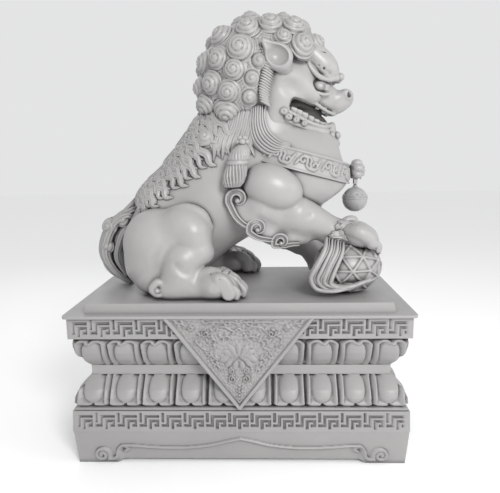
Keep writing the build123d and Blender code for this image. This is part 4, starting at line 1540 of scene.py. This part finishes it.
def add_collar():
    columns, rows = 520, 30
    angle = full_circle(columns)
    v = np.linspace(0, 1, rows)[:, None]
    height = (v - 0.5) * COLLAR_HEIGHT
    edge = 0.7 * bead(v * COLLAR_HEIGHT - 1.2, 1.3) + bead((1 - v) * COLLAR_HEIGHT - 1.6, 1.8)
    relief = np.maximum(1.25 * collar_ornament(angle * COLLAR_RADIUS, height), edge)

    def ring(out):
        x = (88 - 10 * v + out) * np.cos(angle)
        y = (82 - 11 * v + out) * np.sin(angle)
        return np.stack((x, y, np.broadcast_to(height, x.shape)), -1)

    inner = ring(-COLLAR_THICKNESS)[::-1]
    rings = np.concatenate((ring(1.5 + relief), inner[::8], inner[-1:]))
    first = np.arange(columns)
    nxt = (first + 1) % columns
    last = (len(rings) - 1) * columns
    closing = np.stack((last + first, last + nxt, nxt, first), -1)
    quads = grid_quads(len(rings), columns, wrap_columns=True)
    points = rings.reshape(-1, 3) @ turned((0, COLLAR_TILT, 0)).T + COLLAR_PLACE
    add_figure_piece("collar_band", points, [quads, closing], ("collar",))


add_collar()


def add_flower():
    """A round boss with two rings of knobs, and a slot under it for the bell's eye."""
    flower = Clay((154, -26, 152), (202, 26, 204), 0.9, mirrored=True)
    flower.join(ovoid((180, 0, 180), (11, 15, 15), (0, 14, 0)))
    for k in range(7):
        a = np.radians(360 / 7 * k + 13)
        flower.join(ovoid((182, 11.5 * np.cos(a), 180 + 11.5 * np.sin(a)), (8, 6.2, 6.2)), 1.2)
    for k in range(5):
        a = np.radians(72 * k)
        flower.join(ovoid((188, 5.5 * np.cos(a), 179 + 5.5 * np.sin(a)), (6.5, 4.2, 4.2)), 1)
    flower.cut(block((180, 0, 160.5), (8, 8, 6), 1), 0.5)
    add_clay_piece("flower_boss", flower, ("collar_flower",))


add_flower()


def lathe(levels, centre, grooves=0, depth=0.0, around=64, lean=0.0, twist=0.0):
    """A turned piece with grooves down its length: levels are (height, radius, share of the grooves)."""
    z, radius, *shares = np.array(levels, float).T[:, :, None]
    angle = full_circle(around)
    share = shares[0] if shares else 1.0
    r = radius * (1 + depth * share * np.cos(grooves * (angle + twist * z)))
    x = r * np.cos(angle) - lean * z
    y = r * np.sin(angle)
    return tube(np.stack((centre[0] + x, centre[1] + y, centre[2] + z + 0 * angle), -1))


TASSEL_LEVELS = (
    # height, radius, share of the grooves
    (-27, 3, 1),
    (-26, 9, 1),
    (-20, 12.2, 1),
    (-12, 13.2, 1),
    (-4, 12.4, 1),
    (2, 11.4, 0.6),
    (3, 12.6, 0),
    (5, 13.2, 0),
    (7, 12.6, 0),
    (8, 11.6, 0),
    (10, 12.2, 0.5),
    (15, 11.8, 0.5),
    (21, 9.5, 0.4),
    (26, 6, 0),
    (28, 3, 0),
)
TASSEL_STATIONS = 70
TASSEL_STRETCH = (1.08, 1.22, 1.0)
TASSEL_PETAL = ((-4, 0.5), (-3, 3), (0, 4.4), (3, 3), (4, 0.5))
TASSEL_BUTTON = ((-5, 0.6), (-3.6, 3.6), (0, 5), (3.6, 3.6), (5, 0.6))


def add_tassel(side):
    """A corded tassel that hangs from a small flower at the collar."""
    heights, *others = np.array(TASSEL_LEVELS, float).T
    fine = np.linspace(heights[0], heights[-1], TASSEL_STATIONS)
    levels = np.stack((fine, *[np.interp(fine, heights, values) for values in others]), -1) * TASSEL_STRETCH
    parts = [lathe(levels, (-1, side * 90, 188), 20, 0.075, 140, lean=-0.24, twist=0.02)]
    for k in range(6):
        a = np.radians(60 * k)
        parts.append(lathe(TASSEL_PETAL, (7 + 6 * np.cos(a), side * 86, 222 + 6 * np.sin(a)), around=20))
    parts.append(lathe(TASSEL_BUTTON, (7, side * 89, 222), around=24))
    name = SIDE_NAME[side]
    add_figure_piece(f"{name}_tassel_fringe", *merged(parts), (f"{name}_tassel",))


for side in BOTH:
    add_tassel(side)


# ---- scrolls along the forelegs ------------------------------------------------------------------
# half of a moulding with two raised edges: across in half widths, and out
HALF_SECTION = ((1, -7), (1, 3.4), (0.86, 4.8), (0.62, 5.2), (0.42, 4.6), (0.34, 3.0))
SCROLL_SECTION = [(-across, out) for across, out in HALF_SECTION] + [(0, 2.6), *HALF_SECTION[::-1]]
SCROLL_WIDTHS = (0.35, 0.6, 0.85, 1.0, 1.0, 1.05, 0.95, 0.6)  # along a volute, in its own width
SCROLL_WIDTH = 0.41  # of the volute's radius


def add_scroll_strip(side, volutes, tail):
    """Volutes of a double-edged moulding, each running into the next, along the back of a foreleg."""
    parts = []
    for k, (x, z, radius, y) in enumerate(volutes):
        last = k == len(volutes) - 1
        nx, nz, nr, ny = tail if last else volutes[k + 1]
        angle = np.radians(np.linspace(-110, 205, 16))
        r = radius * (0.30 + 0.70 * smoothstep(-110, 150, np.degrees(angle)))
        path = [(x + q * np.cos(a), side * y, z + q * np.sin(a)) for q, a in zip(r, angle)]
        end = np.array([nx - nr, side * ny, nz + 0.35 * nr])
        start = np.array(path[-1])
        path.append(tuple(start + (end - start) * (0.33, 0.33, 0.52) - (0, 0, 0.12 * radius)))
        path.append(tuple(start + (end - start) * (0.70, 0.70, 0.88)))
        path.append(tuple(end))
        half_widths = SCROLL_WIDTH * radius * np.array(SCROLL_WIDTHS)
        parts.append(ribbon(path, half_widths, SCROLL_SECTION, (0, side, 0), 84))
        levels = [(-6, 0.6), (-5, 0.30 * radius), (4, 0.28 * radius), (5.6, 0.16 * radius), (6, 0.4)]
        eye, polygons = lathe(levels, (0, 0, 0), around=22)
        eye = eye[:, (0, 2, 1)] * (1, side, 1) + (x, side * y, z - 0.1 * radius)
        parts.append((eye, polygons))
    name = SIDE_NAME[side]
    add_figure_piece(f"{name}_cloud_scrolls", *merged(parts), (f"{name}_leg_scrolls",))


# along, height, radius and sideways for each volute, and the same for where the last one runs out
add_scroll_strip(-1, ((-1, 141, 13, 82), (27, 99, 12, 84), (61, 79, 10.5, 82)), (92, 74, 5, 76))
add_scroll_strip(1, ((8, 128, 13, 82), (38, 88, 12, 84), (66, 56, 10.5, 82)), (92, 42, 5, 78))


# ---- embroidered ball, ribbon --------------------------------------------------------------------
BALL_PLACE = (162, -52, 39)
BALL_RADII = (50.0, 50.0, 40.0)
BALL_GROUND = 2.5  # how far the ground lies inside the ball's outline
STRUT_SCALE = 46  # millimetres for one radian over the ball
GOLDEN = (1 + 5**0.5) / 2


def ball_knots():
    """Directions of the lattice's knots: an icosahedron's corners and the middles of its edges."""
    hubs = []
    for s in BOTH:
        for t in BOTH:
            hubs += [(0, s, t * GOLDEN), (s, t * GOLDEN, 0), (t * GOLDEN, 0, s)]
    hubs = unit(np.array(hubs))
    middles = [unit(a + b) for i, a in enumerate(hubs) for b in hubs[:i] if a @ b > 0.4]
    return np.concatenate((hubs, np.array(middles)))


def add_ball():
    """A ball in a net of raised struts, whose foot is flat on the slab."""
    directions, quads = cube_sphere(84)
    knots = ball_knots()
    strut = np.full(len(directions), FAR)
    for i, a in enumerate(knots):
        for b in knots[:i]:
            if a @ b > 0.78:
                normal = unit(np.cross(a, b))
                middle = unit(a + b)
                within = (directions @ middle) > (a @ middle) - 0.004
                gap = np.minimum(strut, np.abs(directions @ normal) * STRUT_SCALE)
                strut = np.where(within, gap, strut)
    hub = np.min([np.linalg.norm(directions - k, axis=1) * STRUT_SCALE for k in knots], 0)
    relief = np.maximum(3.2 * smoothstep(2.6, 1.2, strut), 4.2 * smoothstep(4.2, 2.2, hub))
    points = BALL_PLACE + directions * (np.array(BALL_RADII) - BALL_GROUND + relief[:, None])
    points[:, 2] = np.maximum(points[:, 2], 0)
    add_figure_piece("lattice_ball", points, [quads], ("embroidered_ball",))


add_ball()


RIBBON_FOLDS = 7


def add_ribbon():
    """A folded ribbon that falls from under the paw and sweeps round the ball."""
    parts = []
    for k in range(RIBBON_FOLDS):
        lean = 4.0 * k
        wave = 2.4 * np.sin(1.7 * k)
        stout = (1.25, 0.8, 1.15, 0.9)[k % 4]
        path = [
            (126 + lean, -84, 84 - 1.2 * k),
            (122 + lean, -98, 70 - 1.0 * k),
            (110 + lean, -104, 48 - 1.5 * k + wave),
            (103 + 1.2 * lean, -99, 30 - 1.5 * k),
            (112 + 1.7 * lean, -98, 14 + 0.3 * k + wave),
            (138 + 1.3 * lean, -103, 12 + 1.6 * k),
            (168 + 0.8 * lean, -102, 18 + 1.7 * k),
        ]
        widths = (1.6, 2.8, 3.3, 3.6, 3.4, 2.6, 1.2)
        depths = (4, 5, 6, 7, 6, 5, 2)
        fold = strand(path, stout * np.array(widths), stout * np.array(depths), (0, -1, 0), 0, 0, 40, 14)
        parts.append(fold)
    add_figure_piece("ribbon_folds", *merged(parts), ("ball_ribbon",))


add_ribbon()


def add_wrist_fur():
    """Folds of fur that fall from the right wrist over the paw."""
    parts = []
    for k in range(6):
        start = np.array([124 + 3.4 * k, -84 + 3.6 * k, 76 + 5.0 * k])
        bend = 1.2 * (-1) ** k
        path = [start, start + (9, -3, bend), start + (18, -5, 1 - bend), start + (27, -6, 0.5 * bend)]
        parts.append(surface_lock(right_arm, path, 5.2, 4.6, 0.4, 5))
    add_figure_piece("wrist_fur", *merged(parts))


add_wrist_fur()


# ---- bell ----------------------------------------------------------------------------------------
BELL_CENTRE = np.array([180.0, 0.0, 134.0])
BELL_RADIUS = 19.5
BELL_HOLES = 10


def add_bell():
    """A round bell: two beads above its middle, a ring of pits, a slot below and an eye on top."""
    bell = Clay((156, -24, 110), (204, 24, 168), 0.7, mirrored=True)
    bell.join(ovoid(BELL_CENTRE, (BELL_RADIUS, BELL_RADIUS, BELL_RADIUS)))
    for height in (2.5, 6.0):
        r = (BELL_RADIUS**2 - height**2) ** 0.5
        turn = np.linspace(-np.pi, np.pi, 33)
        circle = BELL_CENTRE + np.stack((r * np.cos(turn), r * np.sin(turn), np.full(33, height)), -1)
        bell.join(rope(circle, 1.1, 48), 0.6)
    for k in range(BELL_HOLES):
        a = 2 * np.pi * (k + 0.5) / BELL_HOLES
        hole = BELL_CENTRE + (17.4 * np.cos(a), 17.4 * np.sin(a), 9.5)
        bell.cut(ovoid(hole, (1.7, 1.7, 1.7)), 0.5)
    bell.cut(block(BELL_CENTRE - (0, 0, 20), (12, 1.6, 6), 0.6), 0.5)
    bell.join(limb(BELL_CENTRE + (0, 0, 18), BELL_CENTRE + (0, 0, 23.5), 4.6, 2.4), 2)
    points, polygons = bell.surface()
    add_piece("round_bell", over_slab(points), polygons, "bell", BELL_PAINT, ("bell",))


add_bell()

# ---- CAD pieces that stay ------------------------------------------------------------------------
# paint and the width of the worn edge
KEPT = {
    "figure_slab": (PLINTH_PAINT, 0.9),
    "pedestal_deck": (PLINTH_PAINT, 0.9),
    "waist_course": (PLINTH_PAINT, 0.9),
    "bell_pin": (BELL_PAINT, 0.2),
}
for node, (material, edge) in KEPT.items():
    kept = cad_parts[node]
    kept.data.materials.clear()
    kept.data.materials.append(material)
    bevel = kept.modifiers.new("worn_edges", "BEVEL")
    bevel.width = edge * MM
    bevel.segments = 2
    bevel.limit_method = "ANGLE"
    kept.data.shade_smooth()
    kept.data.set_sharp_from_angle(angle=np.radians(35))
